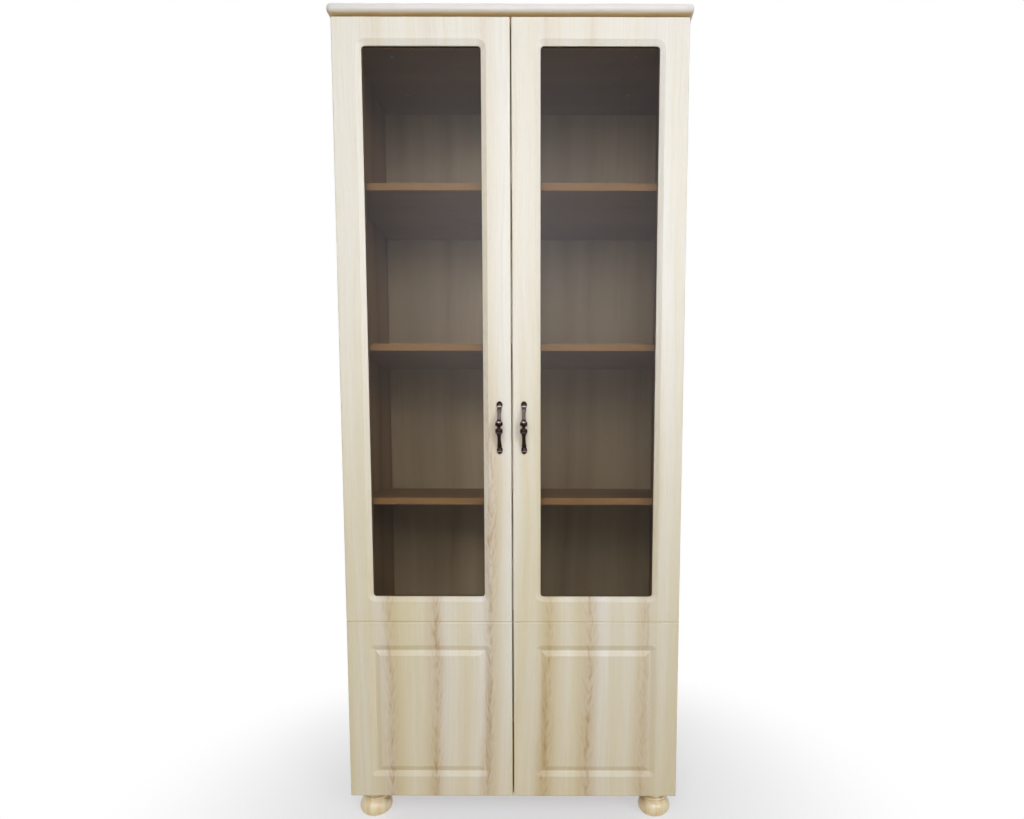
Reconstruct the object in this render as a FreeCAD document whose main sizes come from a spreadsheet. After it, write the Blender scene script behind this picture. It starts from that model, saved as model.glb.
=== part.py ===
"""Two-door glazed display cabinet on turned bun feet, as a parametric document.

Millimetres. +Z is up, the doors face -Y, and the origin is on the floor under the middle of the
cabinet's box. The left half is modelled, and what repeats on the right is its mirror image.
"""
import FreeCAD, Part
import math
import os
import re
import Sketcher

Vector = FreeCAD.Vector
doc = FreeCAD.newDocument("display_cabinet")

# Driving sizes in millimetres, apart from names that end in count or share
SIZES = {
    # Carcass boards
    "body_width": 800, "body_depth": 380, "body_height": 1808, "board": 16,
    "back_thickness": 3, "back_inset": 2,
    # Moulded top
    "top_thickness": 18, "top_side_overhang": 6, "top_front_overhang": 11,
    "top_edge_round": 7, "top_corner_round": 12,
    # Shelves and the pins they lie on
    "top_shelf_drop": 328, "shelf_pitch": 366, "shelf_setback": 20, "shelf_play": 0.5,
    "pin_diameter": 5, "pin_seat_depth": 9, "pin_reach": 8, "pin_collar": 8,
    "pin_collar_thickness": 1.5, "pin_inset": 50, "pin_hole_pitch": 32,
    # Turned feet
    "foot_height": 74, "foot_inset": 45, "foot_base_diameter": 53, "bun_height": 42, "bun_radius": 23,
    "ring_diameter": 58, "ring_height": 8, "ring_radius": 4.2, "neck_diameter": 55, "foot_top_diameter": 62,
    "foot_collar_height": 8, "neck_radius": 14,
    "foot_bolt_diameter": 8, "foot_bolt_in_foot": 25, "foot_bolt_in_board": 13,
    # Doors
    "door_thickness": 18, "door_gap": 3, "door_reveal": 1.5, "door_meeting_gap": 3,
    "door_foot_reveal": 1, "door_head_reveal": 5, "door_edge_round": 3,
    "split_height": 435, "split_width": 6, "split_depth": 3, "split_floor": 0.6,
    "opening_inset": 65, "opening_head_inset": 58.5, "opening_foot_inset": 61.5,
    "opening_profile_width": 12, "opening_profile_depth": 6, "opening_corner": 8,
    "rebate_width": 8, "rebate_depth": 9, "glass_thickness": 4, "glass_play": 0.5,
    "panel_inset": 53, "panel_head_inset": 57, "panel_foot_inset": 50,
    "panel_slope": 12, "panel_floor": 2, "panel_depth": 6, "panel_corner": 1,
    "bead_play": 0.3, "bead_width": 9,
    "bumper_diameter": 8, "bumper_clearance": 0.3, "bumper_inset": 14,
    # Bow handles
    "handle_inset": 27, "handle_height": 898, "handle_centres": 96, "handle_projection": 28,
    "handle_end_diameter": 11, "handle_waist_diameter": 8.4, "handle_neck_diameter": 7,
    "bead_diameter": 17.6, "bead_spacing": 19.4,
    "handle_foot_length": 25, "handle_foot_width": 14.5, "handle_foot_rise": 7.5, "handle_foot_shift": 1,
    "handle_screw_diameter": 4, "handle_screw_bite": 5, "handle_head_diameter": 9, "handle_head_height": 2.4,
    # Cup hinges
    "hinge_count": 4, "hinge_end_distance": 100, "cup_diameter": 35, "cup_depth": 11.5, "cup_wall": 1,
    "cup_edge_distance": 3, "cup_flange_length": 54, "cup_flange_thickness": 1.2, "cup_flange_back": 4,
    "cup_flange_front": 15, "cup_screw_spacing": 45, "cup_screw_offset": 9.5,
    "pivot_edge_distance": 6.7, "pivot_depth": 8, "hinge_pin_diameter": 2.4,
    "lug_thickness": 2.5, "lug_reach": 2.2, "lug_height": 4.4, "lug_clearance": 0.4,
    "hinge_eye_diameter": 4, "arm_width": 7, "arm_thickness": 3.2, "neck_distance": 4.4,
    "channel_width": 13, "channel_wall": 1.5, "channel_depth": 5.2,
    "channel_start": 8, "channel_end": 48, "neck_overlap": 6,
    "plate_hole_setback": 37, "plate_hole_spacing": 32, "plate_wing_length": 52, "plate_wing_width": 16,
    "plate_thickness": 1.6, "rail_width": 9.2, "rail_start": 14, "rail_end": 50,
    "small_screw_diameter": 3.5, "small_head_diameter": 7, "small_head_height": 1.5, "small_screw_bite": 9,
    "arm_screw_bite": 4, "plate_screw_bite": 11,
    # Joining hardware
    "joint_inset": 55, "screw_thread_diameter": 5, "screw_neck_diameter": 7, "screw_head_diameter": 9.6,
    "screw_head_height": 3.4, "screw_reach": 34, "cap_diameter": 13, "cap_thickness": 0.8,
    "dowel_diameter": 8, "dowel_in_side": 11, "dowel_in_board": 19, "dowel_inset": 105,
    "top_screw_diameter": 4, "top_screw_bite": 11, "top_screw_head": 8, "top_screw_head_height": 2.2,
    "top_screw_inset": 90, "nail_diameter": 1.6, "nail_length": 18, "nail_head_diameter": 4,
    "nail_head_height": 0.8, "nail_margin": 40, "side_nail_count": 7, "board_nail_count": 4,
    # Fits
    "fit": 0.05, "running_fit": 0.04, "overrun": 2,
    # Where the bow's thickness is set along each half, and how thick it is there between waist and end
    "bow_mid_share": 0.45, "bow_outer_share": 0.78, "bow_outer_size_share": 0.4,
}

# Places worked out from the driving sizes
LAYOUT = {
    "back_y": "(handle_projection + door_thickness + door_gap + body_depth) / 2",
    "front_y": "back_y - body_depth",
    "door_inner_y": "front_y - door_gap",
    "door_front_y": "door_inner_y - door_thickness",
    "board_depth": "body_depth - back_thickness",
    "side_x": "-body_width / 2",
    "side_inner_x": "side_x + board",
    "inner_width": "body_width - 2 * board",
    "body_top": "foot_height + body_height",
    "door_x": "side_x + door_reveal",
    "door_width": "body_width / 2 - door_reveal - door_meeting_gap / 2",
    "door_z": "foot_height + door_foot_reveal",
    "door_height": "body_height - door_foot_reveal - door_head_reveal",
    "opening_width": "door_width - 2 * opening_inset",
    "opening_bottom": "split_height + opening_foot_inset",
    "opening_height": "door_height - opening_head_inset - opening_bottom",
    "panel_width": "door_width - 2 * panel_inset",
    "panel_height": "split_height - panel_head_inset - panel_foot_inset",
    "handle_x": "door_x + door_width - handle_inset",
    "handle_z": "door_z + handle_height",
    "bow_sagitta": "handle_projection - bead_diameter / 2",
    "bow_radius": "((handle_centres / 2) ^ 2 + bow_sagitta ^ 2) / (2 * bow_sagitta)",
    "cup_u": "door_reveal - board + cup_edge_distance + cup_diameter / 2",
    "pivot_u": "door_reveal - board + pivot_edge_distance",
    "pivot_v": "door_gap + pivot_depth",
    "rail_height": "neck_distance + arm_thickness - channel_wall",
    "hinge_step": "(door_height - 2 * hinge_end_distance) / (hinge_count - 1)",
}

sheet = doc.addObject("Spreadsheet::Sheet", "Sizes")
for row, (alias, amount) in enumerate(SIZES.items(), start=1):
    sheet.set(f"A{row}", alias)
    sheet.set(f"B{row}", str(amount))
    sheet.setAlias(f"B{row}", alias)

layout = doc.addObject("Spreadsheet::Sheet", "Layout")


def spelled(formula):
    """A formula in plain names, with each name led by the sheet that holds it."""
    def lead(match):
        word = match.group(0)
        if word in SIZES:
            return "Sizes." + word
        if word in LAYOUT:
            return "Layout." + word
        return word
    return re.sub(r"[a-z][a-z_]*", lead, formula)


for row, (alias, formula) in enumerate(LAYOUT.items(), start=1):
    layout.set(f"A{row}", alias)
    layout.setAlias(f"B{row}", alias)
for row, (alias, formula) in enumerate(LAYOUT.items(), start=1):
    layout.set(f"B{row}", "=" + spelled(formula))
doc.recompute()

nodes = {}


def number(formula):
    """The present value of a formula, for places that code works out."""
    return float(sheet.evalExpression(spelled(formula)))


def node(piece, label):
    """Register a finished piece under the name of its file."""
    piece.Label = label
    nodes[label] = piece
    return piece


def bind(piece, **formulas):
    for name, formula in formulas.items():
        piece.setExpression(name, spelled(formula))


def place(piece, x, y, z):
    for axis, formula in zip("xyz", (x, y, z)):
        piece.setExpression("Placement.Base." + axis, spelled(formula))


def block(name, corner, size):
    """A board or bar from its lowest corner and its sizes along X, Y and Z."""
    box = doc.addObject("Part::Box", name)
    bind(box, Length=size[0], Width=size[1], Height=size[2])
    place(box, *corner)
    return box


TURNS = {
    "+X": FreeCAD.Rotation(Vector(0, 0, 1), Vector(1, 0, 0)),
    "-X": FreeCAD.Rotation(Vector(0, 0, 1), Vector(-1, 0, 0)),
    "+Y": FreeCAD.Rotation(Vector(0, 0, 1), Vector(0, 1, 0)),
    "-Y": FreeCAD.Rotation(Vector(0, 0, 1), Vector(0, -1, 0)),
    "+Z": FreeCAD.Rotation(),
}


def rod(name, start, direction, diameter, length):
    """A round bar from the centre of its first end."""
    bar = doc.addObject("Part::Cylinder", name)
    bind(bar, Radius=f"({diameter}) / 2", Height=length)
    bar.Placement = FreeCAD.Placement(Vector(), TURNS[direction])
    place(bar, *start)
    return bar


def fuse(name, pieces):
    whole = doc.addObject("Part::MultiFuse", name)
    whole.Shapes = pieces
    return whole


def cut(name, base, tool):
    rest = doc.addObject("Part::Cut", name)
    rest.Base = base
    rest.Tool = tool
    return rest


def group(name, pieces):
    whole = doc.addObject("Part::Compound", name)
    whole.Links = pieces
    return whole


def mirrored(source, label):
    """The right-hand twin of a left-hand piece."""
    twin = doc.addObject("Part::Mirroring", label)
    twin.Source = source
    twin.Normal = Vector(1, 0, 0)
    return node(twin, label)


def copies(name, model, places):
    """Separate copies of one small piece, each moved to one of the places."""
    doc.recompute()
    solids = []
    for spot in places:
        solid = model.Shape.copy()
        solid.translate(spot)
        solids.append(solid)
    cluster = doc.addObject("Part::Feature", name)
    cluster.Shape = Part.Compound(solids)
    return cluster


def spots(rows):
    """Vectors from rows of three formulas."""
    return [Vector(*(number(formula) for formula in row)) for row in rows]


def sketch_on(body, role, name):
    plane = next(feature for feature in body.Origin.OriginFeatures if feature.Role == role)
    sketch = body.newObject("Sketcher::SketchObject", name)
    sketch.AttachmentSupport = (plane, "")
    sketch.MapMode = "FlatFace"
    return sketch


def dimension(sketch, kind, ends, formula):
    """A driving dimension of a sketch, bound to its formula."""
    index = sketch.addConstraint(Sketcher.Constraint(kind, *ends, number(formula)))
    sketch.setExpression(f"Constraints[{index}]", spelled(formula))


def fix_point(sketch, edge, end, x, y):
    dimension(sketch, "DistanceX", (-1, 1, edge, end), x)
    dimension(sketch, "DistanceY", (-1, 1, edge, end), y)


def circles(sketch, rows):
    """Circles given by the formulas of their centre and diameter."""
    for x, y, diameter in rows:
        centre = Vector(number(x), number(y), 0)
        edge = sketch.addGeometry(Part.Circle(centre, Vector(0, 0, 1), number(diameter) / 2))
        fix_point(sketch, edge, 3, x, y)
        dimension(sketch, "Diameter", (edge,), diameter)


def outline(sketch, points, arcs=None):
    """A closed outline through the points, straight but for the arcs.

    arcs gives, for the stretch that starts at a point, its radius and +1 or -1 for the side it swells to.
    """
    arcs = arcs or {}
    ends = [Vector(number(x), number(y), 0) for x, y in points]
    edges = []
    for index, start in enumerate(ends):
        stop = ends[(index + 1) % len(ends)]
        if index not in arcs:
            edges.append((sketch.addGeometry(Part.LineSegment(start, stop)), 1, 2))
            continue
        radius, side = arcs[index]
        chord = stop - start
        across = Vector(chord.y, -chord.x, 0) * (side / chord.Length)
        reach = math.sqrt(number(radius) ** 2 - chord.Length ** 2 / 4)
        centre = (start + stop) / 2 - across * reach
        middle = centre + across * number(radius)
        curve = Part.Arc(start, middle, stop)
        edge = sketch.addGeometry(curve)
        first, last = (1, 2) if sketch.getPoint(edge, 1).distanceToPoint(start) < number("fit") else (2, 1)
        edges.append((edge, first, last))
        dimension(sketch, "Radius", (edge,), radius)
    for index, (edge, first, last) in enumerate(edges):
        follower = edges[(index + 1) % len(edges)]
        sketch.addConstraint(Sketcher.Constraint("Coincident", edge, last, follower[0], follower[1]))
    for (edge, first, last), (x, y) in zip(edges, points):
        fix_point(sketch, edge, first, x, y)


def rectangle(sketch, left, bottom, width, height):
    right = f"{left} + {width}"
    top = f"{bottom} + {height}"
    outline(sketch, [(left, bottom), (right, bottom), (right, top), (left, top)])


def rounded_rectangle(sketch, left, bottom, width, height, corner):
    """A rectangle whose four corners are quarter circles."""
    xs = (left, f"{left} + {corner}", f"{left} + {width} - {corner}", f"{left} + {width}")
    ys = (bottom, f"{bottom} + {corner}", f"{bottom} + {height} - {corner}", f"{bottom} + {height}")
    points = [(xs[1], ys[0]), (xs[2], ys[0]), (xs[3], ys[1]), (xs[3], ys[2]),
              (xs[2], ys[3]), (xs[1], ys[3]), (xs[0], ys[2]), (xs[0], ys[1])]
    corners = {index: (corner, 1) for index in (1, 3, 5, 7)}
    outline(sketch, points, corners)


def pocket(body, sketch, name, depth=None):
    """A pocket from the sketch's plane towards -Y, through the whole body where no depth is given."""
    cavity = body.newObject("PartDesign::Pocket", name)
    cavity.Profile = sketch
    cavity.Reversed = True
    if depth is None:
        cavity.Type = "ThroughAll"
    else:
        bind(cavity, Length=depth)
    return cavity


def edges_where(piece, test):
    """Names of the edges whose middle and direction pass the test."""
    found = []
    for index, edge in enumerate(piece.Shape.Edges, start=1):
        middle = edge.valueAt((edge.FirstParameter + edge.LastParameter) / 2)
        along = edge.tangentAt((edge.FirstParameter + edge.LastParameter) / 2)
        if test(middle, along):
            found.append(f"Edge{index}")
    return found


def fillet(body, base, name, edges, radius):
    rounding = body.newObject("PartDesign::Fillet", name)
    rounding.Base = (base, edges)
    bind(rounding, Radius=radius)
    return rounding


def near(first, second):
    return abs(first - second) < number("fit")


# Heights of the four shelves' top faces, from the top down
SHELVES = ["upper_shelf", "middle_shelf", "lower_shelf", "base_shelf"]
FIXED_SHELF = "middle_shelf"
shelf_tops = {
    label: f"(body_top - board - top_shelf_drop - {index} * shelf_pitch)"
    for index, label in enumerate(SHELVES)
}
hinge_heights = [
    f"(door_z + hinge_end_distance + {index} * hinge_step)" for index in range(int(number("hinge_count")))
]

# Boards that the carcass screws pull together, by the height of their middle plane
joint_heights = [
    "(foot_height + board / 2)",
    f"({shelf_tops[FIXED_SHELF]} - board / 2)",
    "(body_top - board / 2)",
]
corner_heights = [joint_heights[0], joint_heights[2]]
joint_depths = ["(front_y + joint_inset)", "(front_y + board_depth - joint_inset)"]
dowel_depths = ["(front_y + dowel_inset)", "(front_y + board_depth - dowel_inset)"]
pin_depths = ["(front_y + shelf_setback + pin_inset)", "(front_y + board_depth - pin_inset)"]


# Small parts, each modelled once at the origin and copied to its places
def stepped(name, direction, steps):
    """A turned part of round steps, each a diameter and a length, one after another."""
    sign = direction[0]
    axis = "XYZ".index(direction[1])
    pieces = []
    reach = "0"
    for index, (diameter, length) in enumerate(steps):
        start = ["0", "0", "0"]
        start[axis] = f"{sign}({reach})"
        pieces.append(rod(f"{name}_step{index}", start, direction, diameter, length))
        reach = f"{reach} + {length}"
    return fuse(name, pieces)


carcass_screw_left = stepped("carcass_screw_left", "+X", [
    ("screw_head_diameter", "screw_head_height"),
    ("screw_neck_diameter", "board - screw_head_height"),
    ("screw_thread_diameter", "screw_reach"),
])
carcass_hole_left = stepped("carcass_hole_left", "+X", [
    ("screw_head_diameter + 2 * fit", "screw_head_height"),
    ("screw_neck_diameter + 2 * fit", "board - screw_head_height"),
    ("screw_thread_diameter + 2 * fit", "screw_reach + fit"),
])
cap_left = rod("cap_left", ("0", "0", "0"), "-X", "cap_diameter", "cap_thickness")
dowel_left = rod("dowel_left", ("board - dowel_in_side", "0", "0"), "+X",
                 "dowel_diameter", "dowel_in_side + dowel_in_board")
dowel_hole_left = rod("dowel_hole_left", ("board - dowel_in_side - fit", "0", "0"), "+X",
                      "dowel_diameter + 2 * fit", "dowel_in_side + dowel_in_board + 2 * fit")
pin_left = stepped("pin_left", "+X", [
    ("pin_diameter", "pin_seat_depth"),
    ("pin_collar", "pin_collar_thickness"),
    ("pin_diameter", "pin_reach"),
])
pin_hole_left = rod("pin_hole_left", ("0", "0", "0"), "+X",
                    "pin_diameter + 2 * fit", "pin_seat_depth + overrun")
nail = stepped("nail", "-Y", [
    ("nail_head_diameter", "nail_head_height"),
    ("nail_diameter", "nail_length - nail_head_height"),
])
nail_hole = stepped("nail_hole", "-Y", [
    ("nail_head_diameter + 2 * fit", "nail_head_height"),
    ("nail_diameter + 2 * fit", "nail_length - nail_head_height + fit"),
])
foot_bolt = rod("foot_bolt", ("0", "0", "-foot_bolt_in_foot"), "+Z",
                "foot_bolt_diameter", "foot_bolt_in_foot + foot_bolt_in_board")
foot_bolt_hole = rod("foot_bolt_hole", ("0", "0", "-foot_bolt_in_foot - fit"), "+Z",
                     "foot_bolt_diameter + 2 * fit", "foot_bolt_in_foot + foot_bolt_in_board + 2 * fit")
top_screw = stepped("top_screw", "+Z", [
    ("top_screw_head", "top_screw_head_height"),
    ("top_screw_diameter", "board + top_screw_bite"),
])
top_screw_hole = rod("top_screw_hole", ("0", "0", "top_screw_head_height"), "+Z",
                     "top_screw_diameter + 2 * fit", "board + top_screw_bite + fit")
plate_screw = stepped("plate_screw", "-X", [
    ("small_head_diameter", "small_head_height"),
    ("small_screw_diameter", "plate_thickness + plate_screw_bite"),
])
plate_screw_hole = rod("plate_screw_hole", ("0", "0", "0"), "-X",
                       "small_screw_diameter + 2 * fit", "plate_thickness + plate_screw_bite + fit")

# Places of the joining hardware on the left side, and on both sides where it crosses the middle
screw_rows = [("side_x", depth, height) for height in joint_heights for depth in joint_depths]
dowel_rows = [("side_x", depth, height) for height in corner_heights for depth in dowel_depths]
pin_rows = [
    ("side_inner_x - pin_seat_depth", depth, f"{shelf_tops[label]} - board - pin_diameter / 2 - fit")
    for label in SHELVES if label != FIXED_SHELF for depth in pin_depths
]
pin_hole_rows = [
    (x, depth, f"{height} + {step} * pin_hole_pitch") for x, depth, height in pin_rows for step in (-1, 0, 1)
]
nail_step = "(body_height - 2 * board - 2 * nail_margin) / (side_nail_count - 1)"
side_nail_rows = [
    ("side_x + board / 2", "back_y", f"foot_height + board + nail_margin + {index} * {nail_step}")
    for index in range(int(number("side_nail_count")))
]
board_nail_rows = [
    (f"side_inner_x + 2 * nail_margin + {index} * (inner_width - 4 * nail_margin) / (board_nail_count - 1)",
     "back_y", height)
    for height in joint_heights for index in range(int(number("board_nail_count")))
]
top_screw_rows = [
    (f"{sign} * (inner_width / 2 - top_screw_inset)", depth, "body_top - board - top_screw_head_height")
    for sign in (-1, 1) for depth in dowel_depths
]
plate_rows = [
    ("side_inner_x + plate_thickness", "front_y + plate_hole_setback",
     f"{height} + {sign} * plate_hole_spacing / 2")
    for height in hinge_heights for sign in (-1, 1)
]
feet = {
    "front_left_foot": ("side_x + foot_inset", "front_y + foot_inset"),
    "front_right_foot": ("-side_x - foot_inset", "front_y + foot_inset"),
    "rear_left_foot": ("side_x + foot_inset", "back_y - foot_inset"),
    "rear_right_foot": ("-side_x - foot_inset", "back_y - foot_inset"),
}
foot_rows = [(x, y, "foot_height") for x, y in feet.values()]


def both_sides(places):
    return places + [Vector(-spot.x, spot.y, spot.z) for spot in places]


def paired(name, source, label):
    """One node that holds a left-hand cluster and its mirror image."""
    twin = doc.addObject("Part::Mirroring", name + "_twin")
    twin.Source = source
    twin.Normal = Vector(1, 0, 0)
    return node(group(name, [source, twin]), label)


# Holes and hardware that several boards share
screws_left = copies("screws_left", carcass_screw_left, spots(screw_rows))
screw_holes_left = copies("screw_holes_left", carcass_hole_left, spots(screw_rows))
dowels_left = copies("dowels_left", dowel_left, spots(dowel_rows))
dowel_holes_left = copies("dowel_holes_left", dowel_hole_left, spots(dowel_rows))
caps_left = copies("caps_left", cap_left, spots(screw_rows))
pins_left = copies("pins_left", pin_left, spots(pin_rows))
pin_holes_left = copies("pin_holes_left", pin_hole_left, spots(pin_hole_rows))
nail_places = both_sides(spots(side_nail_rows)) + spots(board_nail_rows)
nail_holes = copies("nail_holes", nail_hole, nail_places)
plate_holes_left = copies("plate_holes_left", plate_screw_hole, spots(plate_rows))

paired("carcass_screws", screws_left, "carcass_screws")
paired("screw_caps", caps_left, "screw_caps")
paired("dowels", dowels_left, "dowels")
paired("shelf_pins", pins_left, "shelf_pins")
node(copies("back_nails", nail, nail_places), "back_nails")


def joint_tools(name):
    """Screw and dowel holes of both sides, for the boards that lie between them."""
    twins = []
    for source in (screw_holes_left, dowel_holes_left):
        twin = doc.addObject("Part::Mirroring", f"{name}_{source.Name}_twin")
        twin.Source = source
        twin.Normal = Vector(1, 0, 0)
        twins.append(twin)
    return [screw_holes_left, dowel_holes_left] + twins


# Carcass
side_blank = block("side_blank", ("side_x", "front_y", "foot_height"),
                   ("board", "board_depth", "body_height"))
side_tools = group("side_tools", [screw_holes_left, dowel_holes_left, pin_holes_left,
                                  nail_holes, plate_holes_left])
left_side = node(cut("left_side", side_blank, side_tools), "left_side_panel")
mirrored(left_side, "right_side_panel")

foot_bolt_holes = copies("foot_bolt_holes", foot_bolt_hole, spots(foot_rows))
bottom_blank = block("bottom_blank", ("side_inner_x", "front_y", "foot_height"),
                     ("inner_width", "board_depth", "board"))
bottom_tools = group("bottom_tools", joint_tools("bottom") + [nail_holes, foot_bolt_holes])
node(cut("bottom", bottom_blank, bottom_tools), "bottom_panel")
node(copies("foot_bolts", foot_bolt, spots(foot_rows)), "foot_bolts")

top_screw_holes = copies("top_screw_holes", top_screw_hole, spots(top_screw_rows))
head_blank = block("head_blank", ("side_inner_x", "front_y", "body_top - board"),
                   ("inner_width", "board_depth", "board"))
head_tools = group("head_tools", joint_tools("head") + [nail_holes, top_screw_holes])
node(cut("head", head_blank, head_tools), "carcass_top")
node(copies("top_screws", top_screw, spots(top_screw_rows)), "top_board_screws")

back_blank = block("back_blank",
                   ("side_x + back_inset", "back_y - back_thickness", "foot_height + back_inset"),
                   ("body_width - 2 * back_inset", "back_thickness", "body_height - 2 * back_inset"))
node(cut("back", back_blank, nail_holes), "back_panel")


def moulded_top():
    """The top board, rounded over at the front and the two ends."""
    body = doc.addObject("PartDesign::Body", "top_blank")
    sketch = sketch_on(body, "XY_Plane", "top_outline")
    rectangle(sketch, "0", "0", "body_width + 2 * top_side_overhang",
              "body_depth + door_gap + door_thickness + top_front_overhang")
    pad = body.newObject("PartDesign::Pad", "top_slab")
    pad.Profile = sketch
    bind(pad, Length="top_thickness")
    place(body, "side_x - top_side_overhang", "door_front_y - top_front_overhang", "body_top")
    doc.recompute()

    def front_upright(middle, along):
        return abs(along.z) > abs(along.x + along.y) and near(middle.y, 0)

    corners = fillet(body, pad, "top_corners", edges_where(pad, front_upright), "top_corner_round")
    doc.recompute()
    depth = number("body_depth + door_gap + door_thickness + top_front_overhang")

    def exposed(middle, along):
        level = near(middle.z, 0) or near(middle.z, number("top_thickness"))
        return level and not near(middle.y, depth)

    fillet(body, corners, "top_edges", edges_where(corners, exposed), "top_edge_round")
    return body


node(cut("top", moulded_top(), top_screw_holes), "top_board")


def shelf(label):
    """A shelf board; the fixed one fills the width, the others clear the collars of their pins."""
    play = "0" if label == FIXED_SHELF else "(pin_collar_thickness + shelf_play)"
    corner = (f"side_inner_x + {play}", "front_y + shelf_setback", f"{shelf_tops[label]} - board")
    size = (f"inner_width - 2 * {play}", "board_depth - shelf_setback - shelf_play", "board")
    blank = block(label + "_blank", corner, size)
    if label != FIXED_SHELF:
        return blank
    return cut(label + "_drilled", blank, group(label + "_tools", joint_tools(label) + [nail_holes]))


for shelf_label in SHELVES:
    node(shelf(shelf_label), shelf_label)


def foot_turning():
    """The turned foot about its own axis: bun, ring, waisted neck and top collar."""
    body = doc.addObject("PartDesign::Body", "foot_turning")
    sketch = sketch_on(body, "XZ_Plane", "foot_profile")
    ring_top = "bun_height + ring_height"
    neck_top = "foot_height - foot_collar_height"
    points = [
        ("0", "0"), ("foot_base_diameter / 2", "0"), ("foot_base_diameter / 2", "bun_height"),
        ("ring_diameter / 2", "bun_height"), ("ring_diameter / 2", ring_top), ("neck_diameter / 2", ring_top),
        ("neck_diameter / 2", neck_top), ("foot_top_diameter / 2", neck_top),
        ("foot_top_diameter / 2", "foot_height"), ("0", "foot_height"),
    ]
    outline(sketch, points, {1: ("bun_radius", 1), 3: ("ring_radius", 1), 5: ("neck_radius", -1)})
    turning = body.newObject("PartDesign::Revolution", "foot_revolution")
    turning.Profile = sketch
    turning.ReferenceAxis = (sketch, ["V_Axis"])
    return body


foot_model = cut("foot_model", foot_turning(),
                 rod("foot_bore", ("0", "0", "foot_height - foot_bolt_in_foot - fit"), "+Z",
                     "foot_bolt_diameter + 2 * fit", "foot_bolt_in_foot + overrun"))
for foot_label, (foot_x, foot_y) in feet.items():
    node(copies(foot_label, foot_model, spots([(foot_x, foot_y, "0")])), foot_label)


def routed_slope(body, name, floor, corner, slope_width, depth):
    """A slope from a door leaf's face down to a floor's outline, with corners as a cutter leaves them."""
    left, bottom, width, height = floor
    rims = []
    for level, grow, sunk in (("face", slope_width, "0"), ("floor", "0", depth)):
        rim = sketch_on(body, "XZ_Plane", f"{name}_{level}")
        rim.setExpression("AttachmentOffset.Base.z", spelled(f"door_thickness - {sunk}"))
        rounded_rectangle(rim, f"{left} - {grow}", f"{bottom} - {grow}", f"{width} + 2 * {grow}",
                          f"{height} + 2 * {grow}", f"({corner} + {grow})")
        rims.append(rim)
    slope = body.newObject("PartDesign::SubtractiveLoft", name)
    slope.Profile = rims[0]
    slope.Sections = [rims[1]]
    slope.Ruled = True


def door_leaf():
    """One pressed door leaf: glazed field above, a groove across, and a raised panel below.

    It is drawn from its lower hinge corner, with its back on the XZ plane and its face towards -Y.
    """
    body = doc.addObject("PartDesign::Body", "door_leaf")
    blank = sketch_on(body, "XZ_Plane", "leaf_outline")
    rectangle(blank, "0", "0", "door_width", "door_height")
    slab = body.newObject("PartDesign::Pad", "leaf_slab")
    slab.Profile = blank
    bind(slab, Length="door_thickness")
    doc.recompute()
    face_edges = edges_where(slab, lambda middle, along: near(middle.y, -number("door_thickness")))
    fillet(body, slab, "leaf_round", face_edges, "door_edge_round")

    opening = sketch_on(body, "XZ_Plane", "opening_outline")
    rounded_rectangle(opening, "opening_inset", "opening_bottom", "opening_width", "opening_height",
                      "opening_corner")
    pocket(body, opening, "opening_cut")

    daylight = ("opening_inset", "opening_bottom", "opening_width", "opening_height")
    routed_slope(body, "opening_profile", daylight, "opening_corner", "opening_profile_width",
                 "opening_profile_depth")

    rebate = sketch_on(body, "XZ_Plane", "rebate_outline")
    rectangle(rebate, "opening_inset - rebate_width", "opening_bottom - rebate_width",
              "opening_width + 2 * rebate_width", "opening_height + 2 * rebate_width")
    pocket(body, rebate, "glass_rebate", "rebate_depth")

    groove = body.newObject("PartDesign::SubtractiveWedge", "split_groove")
    bind(groove, Xmin="0", Xmax="door_width", X2min="0", X2max="door_width",
         Ymin="0", Ymax="split_depth", Zmin="0", Zmax="split_width",
         Z2min="(split_width - split_floor) / 2", Z2max="(split_width + split_floor) / 2")
    place(groove, "0", "-door_thickness", "split_height - split_width / 2")

    # The raised panel: a sunk field with sloping sides, and the island that rises from it
    floor = ("panel_inset + panel_slope", "panel_foot_inset + panel_slope",
             "panel_width - 2 * panel_slope", "panel_height - 2 * panel_slope")
    routed_slope(body, "panel_field", floor, "panel_corner", "panel_slope", "panel_depth")
    foot = "panel_slope + panel_floor"
    crown = f"{foot} + panel_slope"
    island = body.newObject("PartDesign::AdditiveWedge", "panel_island")
    bind(island, Xmin=crown, Xmax=f"panel_width - ({crown})", X2min=foot, X2max=f"panel_width - ({foot})",
         Ymin="0", Ymax="panel_depth", Zmin=crown, Zmax=f"panel_height - ({crown})",
         Z2min=foot, Z2max=f"panel_height - ({foot})")
    place(island, "panel_inset", "-door_thickness", "panel_foot_inset")

    cup_x = "cup_edge_distance + cup_diameter / 2"
    heights = [f"hinge_end_distance + {index} * hinge_step" for index in range(int(number("hinge_count")))]
    cups = sketch_on(body, "XZ_Plane", "cup_bores")
    circles(cups, [(cup_x, height, "cup_diameter") for height in heights])
    pocket(body, cups, "cup_pockets", "cup_depth + fit")
    pilots = sketch_on(body, "XZ_Plane", "pilot_holes")
    circles(pilots, [(f"{cup_x} + cup_screw_offset", f"{height} + {sign} * cup_screw_spacing / 2",
                      "small_screw_diameter + 2 * fit") for height in heights for sign in (-1, 1)])
    pocket(body, pilots, "pilot_pockets", "small_screw_bite + fit")
    handle_holes = sketch_on(body, "XZ_Plane", "handle_holes")
    circles(handle_holes, [("door_width - handle_inset", f"handle_height + {sign} * handle_centres / 2",
                            "handle_screw_diameter + 2 * fit") for sign in (-1, 1)])
    pocket(body, handle_holes, "handle_bores")
    place(body, "door_x", "door_inner_y", "door_z")
    return body


left_leaf = node(door_leaf(), "left_door_panel")
mirrored(left_leaf, "right_door_panel")

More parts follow.
